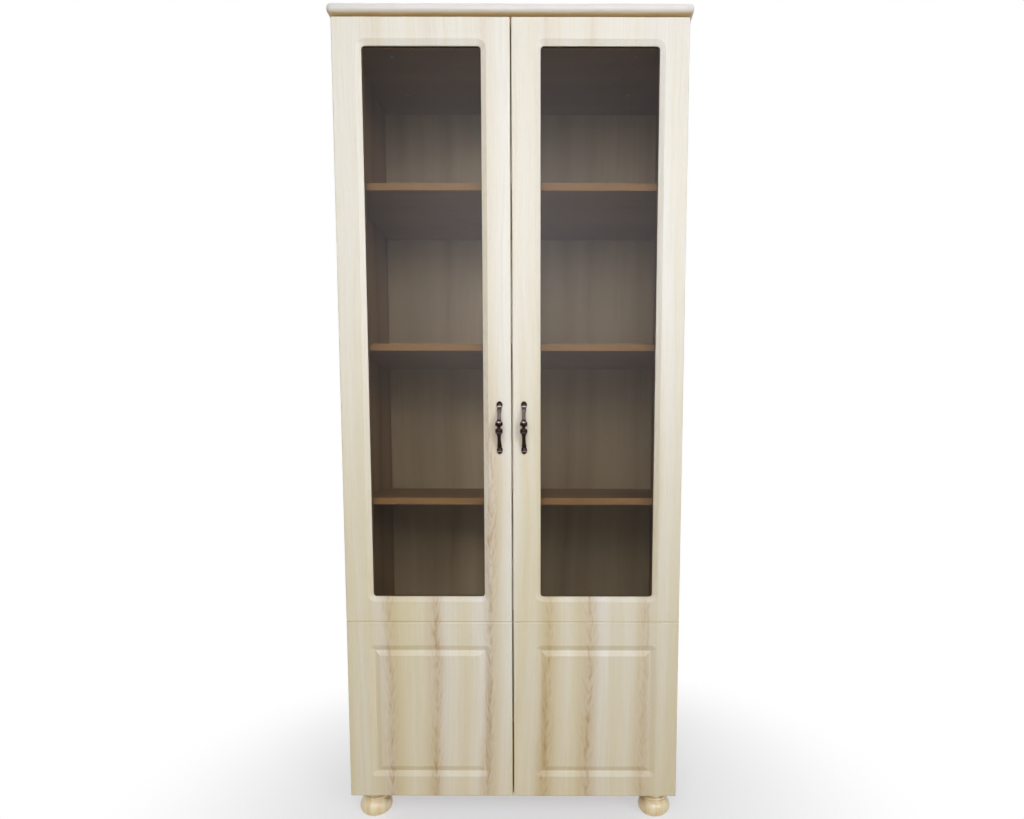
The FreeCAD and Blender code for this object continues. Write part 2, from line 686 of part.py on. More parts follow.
# Glass and the four strips of bead that hold it in the rebate
pane_inset = "(opening_inset - rebate_width + glass_play)"
pane_bottom = "(opening_bottom - rebate_width + glass_play)"
pane_width = "(opening_width + 2 * rebate_width - 2 * glass_play)"
pane_height = "(opening_height + 2 * rebate_width - 2 * glass_play)"
glass_y = "(door_inner_y - rebate_depth)"
left_glass = node(block("left_glass_pane", (f"door_x + {pane_inset}", glass_y, f"door_z + {pane_bottom}"),
                        (pane_width, "glass_thickness", pane_height)), "left_glass")
mirrored(left_glass, "right_glass")

bead_x = "(door_x + opening_inset - rebate_width + bead_play)"
bead_z = "(door_z + opening_bottom - rebate_width + bead_play)"
bead_run = "(opening_width + 2 * rebate_width - 2 * bead_play)"
bead_rise = "(opening_height + 2 * rebate_width - 2 * bead_play)"
bead_y = f"({glass_y} + glass_thickness)"
bead_thickness = "(rebate_depth - glass_thickness)"
upright_z = f"({bead_z} + bead_width + fit)"
upright_rise = f"({bead_rise} - 2 * bead_width - 2 * fit)"
bead_strips = [
    block("bead_bottom", (bead_x, bead_y, bead_z), (bead_run, bead_thickness, "bead_width")),
    block("bead_top", (bead_x, bead_y, f"{bead_z} + {bead_rise} - bead_width"),
          (bead_run, bead_thickness, "bead_width")),
    block("bead_outer", (bead_x, bead_y, upright_z), ("bead_width", bead_thickness, upright_rise)),
    block("bead_inner", (f"{bead_x} + {bead_run} - bead_width", bead_y, upright_z),
          ("bead_width", bead_thickness, upright_rise)),
]
left_bead = node(group("left_bead", bead_strips), "left_glazing_bead")
mirrored(left_bead, "right_glazing_bead")

# Soft bumpers on the free corners of the door's back, where it overlaps the bottom and top boards
bumper = rod("bumper", ("0", "0", "0"), "+Y", "bumper_diameter", "door_gap - bumper_clearance")
bumper_rows = [
    ("door_x + door_width - bumper_inset", "door_inner_y", "(door_z + foot_height + board) / 2"),
    ("door_x + door_width - bumper_inset", "door_inner_y", "(body_top - board + door_z + door_height) / 2"),
]
left_bumpers = node(copies("left_bumpers", bumper, spots(bumper_rows)), "left_door_bumpers")
mirrored(left_bumpers, "right_door_bumpers")


def bow_handle():
    """A bow with two beads at its middle and leaf-shaped feet, on the face of the door."""
    half_angle = math.asin(number("handle_centres / 2") / number("bow_radius"))
    waist = "handle_waist_diameter"
    outer = f"({waist} + bow_outer_size_share * (handle_end_diameter - {waist}))"
    stations = [
        (-1, "handle_end_diameter"), (-number("bow_outer_share"), outer), (-number("bow_mid_share"), waist),
        (0, "handle_neck_diameter"),
        (number("bow_mid_share"), waist), (number("bow_outer_share"), outer), (1, "handle_end_diameter"),
    ]
    sections = []
    for index, (share, diameter) in enumerate(stations):
        angle = share * half_angle
        ring = doc.addObject("Part::Circle", f"bow_section_{index}")
        bind(ring, Radius=f"({diameter}) / 2")
        ring.Placement = FreeCAD.Placement(Vector(), FreeCAD.Rotation(Vector(1, 0, 0), -math.degrees(angle)))
        turn = f"{math.degrees(angle)} deg"
        place(ring, "handle_x", f"door_front_y - bow_sagitta + bow_radius * (1 - cos({turn}))",
              f"handle_z + bow_radius * sin({turn})")
        sections.append(ring)
    bow = doc.addObject("Part::Loft", "bow")
    bow.Sections = sections
    bow.Solid = True
    pieces = [bow]
    for index, sign in enumerate((-1, 1)):
        bead = doc.addObject("Part::Sphere", f"bow_bead_{index}")
        bind(bead, Radius="bead_diameter / 2")
        place(bead, "handle_x", "door_front_y - bow_sagitta", f"handle_z + {sign} * bead_spacing / 2")
        foot = doc.addObject("Part::Ellipsoid", f"bow_foot_{index}")
        bind(foot, Radius1="handle_foot_length / 2", Radius2="handle_foot_width / 2",
             Radius3="handle_foot_rise")
        place(foot, "handle_x", "door_front_y",
              f"handle_z + {sign} * (handle_centres / 2 + handle_foot_shift)")
        pieces += [bead, foot]
    casting = fuse("handle_casting", pieces)
    behind = block("handle_behind",
                   ("handle_x - handle_foot_width", "door_front_y", "handle_z - handle_centres"),
                   ("2 * handle_foot_width", "handle_projection", "2 * handle_centres"))
    bores = [rod(f"handle_bore_{index}",
                 ("handle_x", "door_front_y + overrun", f"handle_z + {sign} * handle_centres / 2"),
                 "-Y", "handle_screw_diameter + 2 * fit", "handle_screw_bite + overrun + fit")
             for index, sign in enumerate((-1, 1))]
    return cut("left_handle_casting", cut("handle_bored", casting, group("handle_bores", bores)), behind)


left_handle = node(bow_handle(), "left_handle")
mirrored(left_handle, "right_handle")
handle_screw = stepped("handle_screw", "-Y", [
    ("handle_head_diameter", "handle_head_height"),
    ("handle_screw_diameter", "door_thickness + handle_screw_bite"),
])
handle_screw_rows = [
    ("handle_x", "door_inner_y + handle_head_height", f"handle_z + {sign} * handle_centres / 2")
    for sign in (-1, 1)
]
left_handle_screws = node(copies("left_handle_fixings", handle_screw, spots(handle_screw_rows)),
                          "left_handle_screws")
mirrored(left_handle_screws, "right_handle_screws")

# One cup hinge about its own centre: X from the side's inner face, -Y forward from the carcass front
lug_start = "(arm_width / 2 + lug_clearance)"
eye_centre = ("pivot_u", "-pivot_v")


def hinge_cup():
    """The cup with its flange, and two lugs inside that carry the hinge pin."""
    mouth_y = "-door_gap"
    shell = rod("cup_shell", ("cup_u", mouth_y, "0"), "-Y", "cup_diameter - 2 * fit", "cup_depth")
    flange = block("cup_flange", ("cup_u - cup_flange_back", mouth_y, "-cup_flange_length / 2"),
                   ("cup_flange_back + cup_flange_front", "cup_flange_thickness", "cup_flange_length"))
    hollow = rod("cup_hollow", ("cup_u", "-door_gap + overrun", "0"), "-Y",
                 "cup_diameter - 2 * fit - 2 * cup_wall", "cup_depth - cup_wall + overrun")
    dish = cut("cup_dish", fuse("cup_solid", [shell, flange]), hollow)
    lugs = [
        block(f"cup_lug_{index}",
              ("pivot_u - lug_reach", "-door_gap - cup_depth + cup_wall / 2", low),
              ("2 * lug_reach", "cup_depth - cup_wall / 2 + door_gap - pivot_v + lug_height / 2",
               "lug_thickness"))
        for index, low in enumerate((lug_start, f"-{lug_start} - lug_thickness"))
    ]
    bores = [rod("cup_pin_bore", (*eye_centre, f"-{lug_start} - lug_thickness - overrun"), "+Z",
                 "hinge_pin_diameter + 2 * fit", f"2 * ({lug_start} + lug_thickness + overrun)")]
    bores += [rod(f"cup_screw_bore_{index}",
                  ("cup_u + cup_screw_offset", "-door_gap + cup_flange_thickness + overrun",
                   f"{sign} * cup_screw_spacing / 2"),
                  "-Y", "small_screw_diameter + 2 * fit", "cup_flange_thickness + 2 * overrun")
              for index, sign in enumerate((-1, 1))]
    return cut("hinge_cup", fuse("cup_with_lugs", [dish] + lugs), group("cup_bores_group", bores))


def hinge_arm():
    """The arm: a channel over the plate's rail, a neck through the cup's mouth and an eye on the pin."""
    half = "arm_width / 2"
    eye = rod("arm_eye", (*eye_centre, f"-{half}"), "+Z", "hinge_eye_diameter", "arm_width")
    hook = block("arm_hook", ("pivot_u", "-pivot_v - arm_thickness / 2", f"-{half}"),
                 ("neck_distance + arm_thickness - pivot_u", "arm_thickness", "arm_width"))
    neck = block("arm_neck", ("neck_distance", "-pivot_v - arm_thickness / 2", f"-{half}"),
                 ("arm_thickness", "pivot_v + arm_thickness / 2 + channel_start + neck_overlap", "arm_width"))
    run = "channel_end - channel_start"
    web = block("arm_web", ("rail_height", "channel_start", "-channel_width / 2"),
                ("channel_wall", run, "channel_width"))
    cheeks = [block(f"arm_cheek_{index}",
                    ("rail_height + channel_wall - channel_depth", "channel_start", low),
                    ("channel_depth", run, "channel_wall"))
              for index, low in enumerate(("-channel_width / 2", "channel_width / 2 - channel_wall"))]
    bores = [
        rod("arm_pin_bore", (*eye_centre, "-arm_width"), "+Z",
            "hinge_pin_diameter + 2 * running_fit", "2 * arm_width"),
        rod("arm_screw_bore", ("rail_height - overrun", "plate_hole_setback", "0"), "+X",
            "small_screw_diameter + 2 * fit", "channel_wall + 2 * overrun"),
    ]
    return cut("hinge_arm", fuse("arm_solid", [eye, hook, neck, web] + cheeks), group("arm_bores", bores))


def hinge_plate():
    """The mounting plate: two screwed wings and the raised rail that the arm slides on."""
    wings = block("plate_wings", ("0", "plate_hole_setback - plate_wing_width / 2", "-plate_wing_length / 2"),
                  ("plate_thickness", "plate_wing_width", "plate_wing_length"))
    rail = block("plate_rail", ("0", "rail_start", "-rail_width / 2"),
                 ("rail_height", "rail_end - rail_start", "rail_width"))
    bores = [rod(f"plate_bore_{index}",
                 ("-overrun", "plate_hole_setback", f"{sign} * plate_hole_spacing / 2"), "+X",
                 "small_screw_diameter + 2 * fit", "plate_thickness + 2 * overrun")
             for index, sign in enumerate((-1, 1))]
    bores.append(rod("rail_bore", ("rail_height - arm_screw_bite - fit", "plate_hole_setback", "0"), "+X",
                     "small_screw_diameter + 2 * fit", "arm_screw_bite + overrun"))
    return cut("hinge_plate", fuse("plate_solid", [wings, rail]), group("plate_bores", bores))


hinge_pin = rod("hinge_pin", (*eye_centre, f"-{lug_start} - lug_thickness"), "+Z",
                "hinge_pin_diameter", f"2 * ({lug_start} + lug_thickness)")
cup_screw = stepped("cup_screw", "-Y", [
    ("small_head_diameter", "small_head_height"),
    ("small_screw_diameter", "cup_flange_thickness + small_screw_bite"),
])
arm_screw = stepped("arm_screw", "-X", [
    ("small_head_diameter", "small_head_height"),
    ("small_screw_diameter", "channel_wall + arm_screw_bite"),
])
hinge_rows = [("side_inner_x", "front_y", height) for height in hinge_heights]
cup_screw_rows = [
    ("side_inner_x + cup_u + cup_screw_offset", "door_inner_y + cup_flange_thickness + small_head_height",
     f"{height} + {sign} * cup_screw_spacing / 2")
    for height in hinge_heights for sign in (-1, 1)
]
arm_screw_rows = [
    ("side_inner_x + rail_height + channel_wall + small_head_height", "front_y + plate_hole_setback", height)
    for height in hinge_heights
]
plate_screw_rows = [(f"{x} + small_head_height", y, z) for x, y, z in plate_rows]
for hinge_label, model, rows in (
    ("hinge_cups", hinge_cup(), hinge_rows),
    ("hinge_pins", hinge_pin, hinge_rows),
    ("cup_screws", cup_screw, cup_screw_rows),
    ("hinge_arms", hinge_arm(), hinge_rows),
    ("arm_screws", arm_screw, arm_screw_rows),
    ("hinge_plates", hinge_plate(), hinge_rows),
    ("plate_screws", plate_screw, plate_screw_rows),
):
    left_set = node(copies("left_" + hinge_label, model, spots(rows)), "left_" + hinge_label)
    mirrored(left_set, "right_" + hinge_label)

# Build, test and write
doc.recompute()
broken = [item.Label for item in doc.Objects if "Invalid" in item.State or "Error" in item.State]
if broken:
    raise RuntimeError("failed objects: " + ", ".join(broken))
os.makedirs("parts", exist_ok=True)
for label, piece in nodes.items():
    shape = piece.Shape
    if shape.isNull() or not shape.isValid() or not shape.Solids:
        raise RuntimeError("unsound shape: " + label)
    print(f"{label}: {len(shape.Solids)} solids, {shape.Volume:.0f} mm3")
    shape.exportStep(f"parts/{label}.step")
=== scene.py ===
"""Finishes, small fittings, light and camera for the two-door display cabinet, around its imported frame."""
import math

import bmesh
import bpy
from bpy.props import FloatProperty, FloatVectorProperty, PointerProperty
from bpy.types import Operator, Panel, PropertyGroup
from mathutils import Color, Matrix, Vector


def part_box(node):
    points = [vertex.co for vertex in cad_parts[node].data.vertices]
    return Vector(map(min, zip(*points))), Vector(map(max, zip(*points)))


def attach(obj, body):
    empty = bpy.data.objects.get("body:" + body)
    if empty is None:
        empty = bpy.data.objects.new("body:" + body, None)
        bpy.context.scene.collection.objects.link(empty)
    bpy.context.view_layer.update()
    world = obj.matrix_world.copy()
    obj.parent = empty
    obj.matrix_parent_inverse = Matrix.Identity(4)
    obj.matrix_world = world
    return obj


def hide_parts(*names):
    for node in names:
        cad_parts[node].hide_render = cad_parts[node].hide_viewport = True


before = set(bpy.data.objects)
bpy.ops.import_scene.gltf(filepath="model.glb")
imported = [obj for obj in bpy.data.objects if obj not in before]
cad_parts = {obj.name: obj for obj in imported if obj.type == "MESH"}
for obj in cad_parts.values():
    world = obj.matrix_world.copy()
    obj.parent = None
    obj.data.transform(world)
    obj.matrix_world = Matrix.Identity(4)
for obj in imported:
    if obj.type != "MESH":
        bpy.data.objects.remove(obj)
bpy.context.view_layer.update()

bl_info = {
    "name": "Display cabinet finishes",
    "version": (1, 0, 0),
    "blender": (4, 5, 0),
    "location": "3D View > Sidebar > Cabinet",
    "description": "Finishes, fittings and studio of a glazed two-door display cabinet",
    "category": "3D View",
}

SIDES = ("left", "right")
WHITE = (1.0, 1.0, 1.0)
SCREEN_WHITE = 255


def tone(red, green, blue):
    """A screen colour, from 0 to 255, as the linear colour that shaders use."""
    screen = Color([value / SCREEN_WHITE for value in (red, green, blue)])
    return tuple(screen.from_srgb_to_scene_linear())


def shaded(base, share):
    """A colour made darker or paler by a share, and no brighter than white."""
    return tuple(min(1.0, value * share) for value in base)


# Sizes and colours that a user would change
def colour(label, words, default):
    """A colour."""
    return FloatVectorProperty(name=label, description=words, subtype="COLOR", size=3, min=0, max=1,
                               default=default)


def length(label, words, default):
    """A length in metres."""
    return FloatProperty(name=label, description=words, unit="LENGTH", min=0, default=default, precision=5)


def angle(label, words, degrees):
    """An angle, given in degrees."""
    return FloatProperty(name=label, description=words, subtype="ANGLE", default=math.radians(degrees))


def amount(label, words, default, least=0.0):
    """A plain number."""
    return FloatProperty(name=label, description=words, min=least, default=default)


def factor(label, words, default):
    """A share from 0 to 1."""
    return FloatProperty(name=label, description=words, subtype="FACTOR", min=0, max=1, default=default)


def watts(label, words, default):
    """The power of a lamp."""
    return FloatProperty(name=label, description=words, unit="POWER", min=0, default=default)


class CabinetFinishes(PropertyGroup):
    """Colours of the foils, boards, timber, metal and glass, and how strongly some of them show."""

    foil_ground: colour("Foil ground", "Palest colour of the doors' ash foil", tone(230, 225, 207))
    foil_shade: colour("Foil shade", "Deeper bands of the doors' ash foil", tone(216, 203, 160))
    foil_streak: colour("Foil streak", "Brown streaks in the doors' ash foil", tone(172, 134, 74))
    foil_streak_depth: factor("Foil streak depth", "How strongly the doors' streaks show", 0.75)
    # The share below also thins the bands at the top, which is painted light: a paler top
    foil_streak_top: factor("Foil streak top", "Share of the streaks that is left at the doors' top", 0.25)
    top_ground: colour("Top ground", "Palest colour of the top board's foil", tone(228, 223, 208))
    top_shade: colour("Top shade", "Deeper bands of the top board's foil", tone(218, 211, 195))
    # Painted shade: the warm shade under the top board's overhang, as a tan colour on its underside
    top_underside_shade: colour("Top underside", "Backing under the top board", tone(246, 222, 176))
    board_ground: colour("Board ground", "Palest colour of the carcass boards", tone(176, 152, 122))
    board_shade: colour("Board shade", "Deeper bands of the carcass boards", tone(152, 126, 96))
    board_streak: colour("Board streak", "Brown streaks of the carcass boards", tone(124, 95, 66))
    edge_band: colour("Edge band", "Edging on the front of the boards", tone(208, 168, 122))
    leaf_back: colour("Leaf back", "White facing on the back of the doors", tone(232, 231, 226))
    leaf_shade: colour("Leaf shade", "Fine lines in the doors' white backs", tone(216, 214, 206))
    back_ground: colour("Back ground", "Palest colour of the back panel's face", tone(228, 220, 206))
    back_shade: colour("Back shade", "Deeper bands of the back panel's face", tone(212, 202, 186))
    hardboard: colour("Hardboard", "Raw rear face of the back panel", tone(182, 144, 106))
    hardboard_shade: colour("Hardboard shade", "Darker patches of the raw rear face", tone(158, 119, 82))
    foot_ground: colour("Foot ground", "Early wood of the turned feet", tone(246, 234, 194))
    foot_shade: colour("Foot shade", "Late wood of the turned feet", tone(237, 215, 167))
    bronze_dark: colour("Bronze dark", "Patina of the handles", tone(44, 29, 26))
    # The colour below serves for rubbed patches and for the painted highlight on the handles' upper arm
    bronze_rubbed_and_lit: colour("Bronze rubbed", "Rubbed places of the handles", tone(150, 130, 134))
    # The colour below is a painted highlight on the handles' rims
    bronze_highlight: colour("Bronze bright", "Rims of the handles, rubbed bare", tone(236, 226, 224))
    glass_tint: colour("Glass tint", "Light that passes the bronze glass", tone(172, 164, 147))
    glass_bend: amount("Glass bend", "Index of refraction of the panes", 1.02)
    glass_veil: factor("Glass veil", "Strength of the soft shine on the panes", 0.24)
    glass_veil_roughness: factor("Glass veil roughness", "How soft that shine is", 0.35)
    steel: colour("Steel", "Plated steel of hinges and screws", tone(196, 195, 190))
    bead: colour("Glazing bead", "Strips that hold the glass", tone(176, 150, 118))


class CabinetHandles(PropertyGroup):
    """Sizes of the handles' domed feet."""

    foot_length: length("Foot length", "Length of a foot, along the door's edge", 0.0185)
    foot_width: length("Foot width", "Width of a foot", 0.0145)
    foot_rise: length("Foot rise", "Height of a foot above the door", 0.0075)
    foot_rim: length("Foot rim", "Height of a foot's upright rim", 0.0012)


class CabinetStudio(PropertyGroup):
    """Camera and light."""

    lens: FloatProperty(name="Lens", description="Focal length, on a sensor 36 mm wide", unit="CAMERA",
                        min=1, default=22.46)
    eye_across: length("Eye across", "Camera's place to the right of the middle", 0.105)
    eye_distance: length("Eye distance", "Camera's distance from the doors' faces", 1.5)
    eye_height: length("Eye height", "Camera's height above the floor", 0.925)
    eye_tilt: angle("Tilt", "How far the camera looks down", 4.958)
    eye_roll: angle("Roll", "Turn about the line of sight", 0.118)
    shift_across: amount("Shift across", "Sideways shift of the lens, in frame widths", -0.0437, least=-1)
    shift_up: amount("Shift up", "Upward shift of the lens, in frame widths", 0.0923, least=-1)
    key_power: watts("Key power", "Softbox at the right", 11)
    fill_power: watts("Fill power", "Feathered softbox in front and above", 160)
    ceiling_power: watts("Ceiling power", "Softbox above and behind", 26)
    sky_level: amount("Sky level", "Strength of the even light from all round", 0.28)


# Places of the colour sockets on a Mix node
MIX_SHARE = 0
MIX_FIRST = 6
MIX_SECOND = 7
MIX_RESULT = 2


# Short forms for shader nodes
class Wires:
    """Adds nodes to one tree, sets their inputs and links them."""

    def __init__(self, tree):
        self.tree = tree

    def put(self, kind, inputs=None, **settings):
        made = self.tree.nodes.new(kind)
        for name, value in settings.items():
            setattr(made, name, value)
        for key, value in (inputs or {}).items():
            self.feed(made.inputs[key], value)
        return made

    def feed(self, socket, value):
        if isinstance(value, bpy.types.NodeSocket):
            self.tree.links.new(value, socket)
        elif socket.type == "RGBA":
            socket.default_value = (*value, 1)
        else:
            socket.default_value = value

    def surface(self, shader):
        """Let this shader be the material's surface."""
        self.feed(self.tree.get_output_node("ALL").inputs["Surface"], shader)

    def maths(self, operation, first, second=0.0, clamp=False):
        made = self.put("ShaderNodeMath", {0: first, 1: second}, operation=operation, use_clamp=clamp)
        return made.outputs[0]

    def spread(self, value, low, high, start=0.0, end=1.0, ease="LINEAR"):
        """The value's stretch from low to high, laid out from start to end."""
        inputs = {"Value": value, "From Min": low, "From Max": high, "To Min": start, "To Max": end}
        return self.put("ShaderNodeMapRange", inputs, interpolation_type=ease).outputs[0]

    def eased(self, *stretch):
        """As spread, with soft ends."""
        return self.spread(*stretch, ease="SMOOTHSTEP")

    def blend(self, share, first, second):
        """A colour between two others."""
        inputs = {MIX_SHARE: share, MIX_FIRST: first, MIX_SECOND: second}
        return self.put("ShaderNodeMix", inputs, data_type="RGBA").outputs[MIX_RESULT]

    def noise(self, place, scales, detail=2.0, roughness=0.5):
        """Noise whose spots are drawn out by a scale along each axis."""
        stretched = self.put("ShaderNodeMapping", {"Vector": place, "Scale": scales})
        made = self.put("ShaderNodeTexNoise", {"Vector": stretched.outputs[0], "Scale": 1.0,
                                               "Detail": detail, "Roughness": roughness})
        return made.outputs[0]

    def object_place(self):
        return self.put("ShaderNodeTexCoord").outputs["Object"]

    def object_axis(self, axis):
        return self.put("ShaderNodeSeparateXYZ", {0: self.object_place()}).outputs[axis]


def shader_group(name, inputs, outputs):
    """A shader node group with named sockets."""
    tree = bpy.data.node_groups.new(name, "ShaderNodeTree")
    for label, kind, default in inputs:
        socket = tree.interface.new_socket(name=label, in_out="INPUT", socket_type=kind)
        if kind == "NodeSocketColor":
            socket.default_value = (*default, 1)
        elif default is not None:
            socket.default_value = default
    for label, kind in outputs:
        tree.interface.new_socket(name=label, in_out="OUTPUT", socket_type=kind)
    return tree, tree.nodes.new("NodeGroupInput"), tree.nodes.new("NodeGroupOutput")


def placed_group(wires, tree, inputs):
    made = wires.put("ShaderNodeGroup", node_tree=tree)
    for name, value in inputs.items():
        wires.feed(made.inputs[name], value)
    return made


# Streaks: widths of their parts to each side, share of each part, and how steeply the flames lean
STREAK_NAME = "Grain streak"
HALO_WIDTH = 0.024
CORE_WIDTH = 0.0045
FLAME_WIDTH = 0.013
HALO_SHARE = 0.42
CORE_SHARE = 0.3
FLAME_SHARE = 0.46
FLAME_SLOPE = 2.4
FLAME_SCALE = (130.0, 1.0, 50.0)
FLAME_RANGE = (0.47, 0.66)
BREAK_SCALE = (20.0, 1.0, 13.0)
BREAK_RANGE = (0.4, 0.62, 0.05, 1.0)
# Heights between which the streaks and bands fade, and the share of the bands that always stays. The thinner
# streaks at the top are partly the foil's own figure and partly painted light; the fading bands are painted
# light, a paler top where the light falls brightest.
STREAK_FULL_HEIGHT = 0.72
STREAK_FADED_HEIGHT = 1.35
TOP_LIGHT_BAND_LEAST = 0.4
# Features of the ash figure: how often each one turns in a metre, across, through and along the grain
WANDER_SCALE = (2.0, 2.0, 1.7)
RIPPLE_SCALE = (9.0, 9.0, 8.0)
BAND_SCALE = (17.0, 5.0, 0.5)
GROWTH_SCALE = (150.0, 40.0, 1.4)
FIBRE_SCALE = (760.0, 300.0, 9.0)
PORE_SCALE = (1500.0, 700.0, 45.0)
FADING_SCALE = (12.0, 4.0, 2.6)
COARSE_ROUGHNESS = 0.6
# The stretch of its noise over which each feature grows, and what it grows from and to
WANDER_RANGE = (0.25, 0.75, -0.012, 0.012)
RIPPLE_RANGE = (0.2, 0.8, -0.003, 0.003)
BAND_RANGE = (0.32, 0.7)
GROWTH_RANGE = (0.5, 0.85, 0.0, 0.55)
FIBRE_RANGE = (0.5, 0.85, 0.0, 0.2)
PORE_RANGE = (0.66, 0.78, 0.0, 0.22)
FADING_RANGE = (0.3, 0.7, 0.6, 1.25)
FIBRE_RELIEF = (0.3, 0.8, 0.0, 0.6)
PORE_RELIEF = (0.6, 0.8, 0.0, -0.6)
FOIL_ROUGHNESS = (0.2, 0.8, 0.40, 0.52)


def streak_group():
    """A mask of brown streaks, built once: a soft halo, a thin core and flame-shaped flecks."""
    known = bpy.data.node_groups.get(STREAK_NAME)
    if known:
        return known
    tree, given, result = shader_group(STREAK_NAME, [
        ("Across", "NodeSocketFloat", 0.0),
        ("Apart", "NodeSocketFloat", 0.0),
        ("Along", "NodeSocketFloat", 0.0),
        ("Wear", "NodeSocketFloat", 1.0),
    ], [("Mask", "NodeSocketFloat")])
    wires = Wires(tree)
    apart = given.outputs["Apart"]

    def bell(half_width):
        share = wires.maths("DIVIDE", apart, half_width)
        return wires.maths("EXPONENT", wires.maths("MULTIPLY", wires.maths("MULTIPLY", share, share), -1.0))

    drawn = wires.maths("SUBTRACT", given.outputs["Along"], wires.maths("MULTIPLY", apart, FLAME_SLOPE))
    leaning = wires.put("ShaderNodeCombineXYZ", {"X": given.outputs["Across"], "Z": drawn}).outputs[0]
    flames = wires.spread(wires.noise(leaning, FLAME_SCALE, detail=3.0), *FLAME_RANGE)
    broken = wires.spread(wires.noise(leaning, BREAK_SCALE), *BREAK_RANGE)
    soft = wires.maths("MULTIPLY", bell(HALO_WIDTH), HALO_SHARE)
    dark = wires.maths("MULTIPLY", wires.maths("MULTIPLY", bell(CORE_WIDTH), broken), CORE_SHARE)
    licks = wires.maths("MULTIPLY", wires.maths("MULTIPLY", bell(FLAME_WIDTH), flames), FLAME_SHARE)
    summed = wires.maths("ADD", wires.maths("ADD", soft, dark), licks)
    wires.feed(result.inputs["Mask"], wires.maths("MULTIPLY", summed, given.outputs["Wear"], clamp=True))
    return tree


def ash_group(name, streaks):
    """Ash figure with its grain along Z: broad bands, growth lines, fibres, pores and brown streaks.

    streaks lists the centre of each streak across the grain, in metres.
    """
    tree, given, result = shader_group(name, [
        ("Place", "NodeSocketVector", None),
        ("Ground", "NodeSocketColor", WHITE),
        ("Shade", "NodeSocketColor", WHITE),
        ("Streak", "NodeSocketColor", WHITE),
        ("Streak depth", "NodeSocketFloat", 1.0),
        ("Streak top", "NodeSocketFloat", 1.0),
    ], [("Color", "NodeSocketColor"), ("Height", "NodeSocketFloat"), ("Roughness", "NodeSocketFloat")])
    wires = Wires(tree)
    place = given.outputs["Place"]
    wander = wires.spread(wires.noise(place, WANDER_SCALE, detail=1.0), *WANDER_RANGE)
    ripple = wires.spread(wires.noise(place, RIPPLE_SCALE), *RIPPLE_RANGE)
    parts = wires.put("ShaderNodeSeparateXYZ", {0: place})
    along = parts.outputs["Z"]
    across = wires.maths("ADD", parts.outputs["X"], wires.maths("ADD", wander, ripple))
    bent = {"X": across, "Y": parts.outputs["Y"], "Z": along}
    swayed = wires.put("ShaderNodeCombineXYZ", bent).outputs[0]

    bands = wires.noise(swayed, BAND_SCALE)
    growth = wires.noise(swayed, GROWTH_SCALE, detail=3.0, roughness=COARSE_ROUGHNESS)
    fibres = wires.noise(swayed, FIBRE_SCALE, roughness=COARSE_ROUGHNESS)
    pores = wires.noise(swayed, PORE_SCALE, detail=1.0)
    fading = wires.noise(swayed, FADING_SCALE)

    distances = [wires.maths("ABSOLUTE", wires.maths("SUBTRACT", across, centre)) for centre in streaks]
    nearest = distances[0]
    for apart in distances[1:]:
        nearest = wires.maths("MINIMUM", nearest, apart)
    streak = placed_group(wires, streak_group(), {"Across": across, "Apart": nearest, "Along": along,
                                                  "Wear": wires.spread(fading, *FADING_RANGE)})
    # Streaks fade towards the top: partly the foil's own figure, partly painted light that makes the top
    # paler
    reach = wires.eased(along, STREAK_FULL_HEIGHT, STREAK_FADED_HEIGHT, 1.0, given.outputs["Streak top"])
    strength = wires.maths("MULTIPLY", reach, given.outputs["Streak depth"])
    depth = wires.maths("MULTIPLY", streak.outputs[0], strength, clamp=True)

    # Painted light: the bands thin out towards the top, so that the top reads paler, as if more brightly lit
    top_light_band_share = wires.spread(reach, 0.0, 1.0, TOP_LIGHT_BAND_LEAST, 1.0)
    banded = wires.maths("MULTIPLY", wires.spread(bands, *BAND_RANGE), top_light_band_share)
    ground = wires.blend(banded, given.outputs["Ground"], given.outputs["Shade"])
    lined = wires.blend(wires.spread(growth, *GROWTH_RANGE), ground, given.outputs["Shade"])
    streaked = wires.blend(depth, lined, given.outputs["Streak"])
    fibred = wires.blend(wires.spread(fibres, *FIBRE_RANGE), streaked, given.outputs["Streak"])
    pored = wires.blend(wires.spread(pores, *PORE_RANGE), fibred, given.outputs["Streak"])
    wires.feed(result.inputs["Color"], pored)
    height = wires.maths("ADD", wires.spread(fibres, *FIBRE_RELIEF), wires.spread(pores, *PORE_RELIEF))
    wires.feed(result.inputs["Height"], height)
    wires.feed(result.inputs["Roughness"], wires.spread(growth, *FOIL_ROUGHNESS))
    return tree


# Finishes in general
MOTTLED = (0.3, 0.7)
ROUGHENED = (0.2, 0.8)
FOIL_BUMP = 0.25
FOIL_BUMP_DEPTH = 0.0003


def new_finish(name):
    """A material with one Principled shader, and the wires of its tree."""
    material = bpy.data.materials.new(name)
    material.use_nodes = True
    material.node_tree.nodes.clear()
    wires = Wires(material.node_tree)
    shader = wires.put("ShaderNodeBsdfPrincipled")
    wires.put("ShaderNodeOutputMaterial", {"Surface": shader.outputs[0]})
    return material, wires, shader


def mottled_finish(name, scale, first, second, roughness, metallic=0.0, detail=2.0):
    """A finish that wavers between two colours and between two values of roughness."""
    material, wires, shader = new_finish(name)
    mottle = wires.noise(wires.object_place(), scale, detail=detail)
    wires.feed(shader.inputs["Base Color"], wires.blend(wires.spread(mottle, *MOTTLED), first, second))
    wires.feed(shader.inputs["Roughness"], wires.spread(mottle, *ROUGHENED, *roughness))
    wires.feed(shader.inputs["Metallic"], metallic)
    return material


def dress(material, nodes):
    """Give CAD nodes a finish."""
    for name in nodes:
        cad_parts[name].material_slots[0].material = material


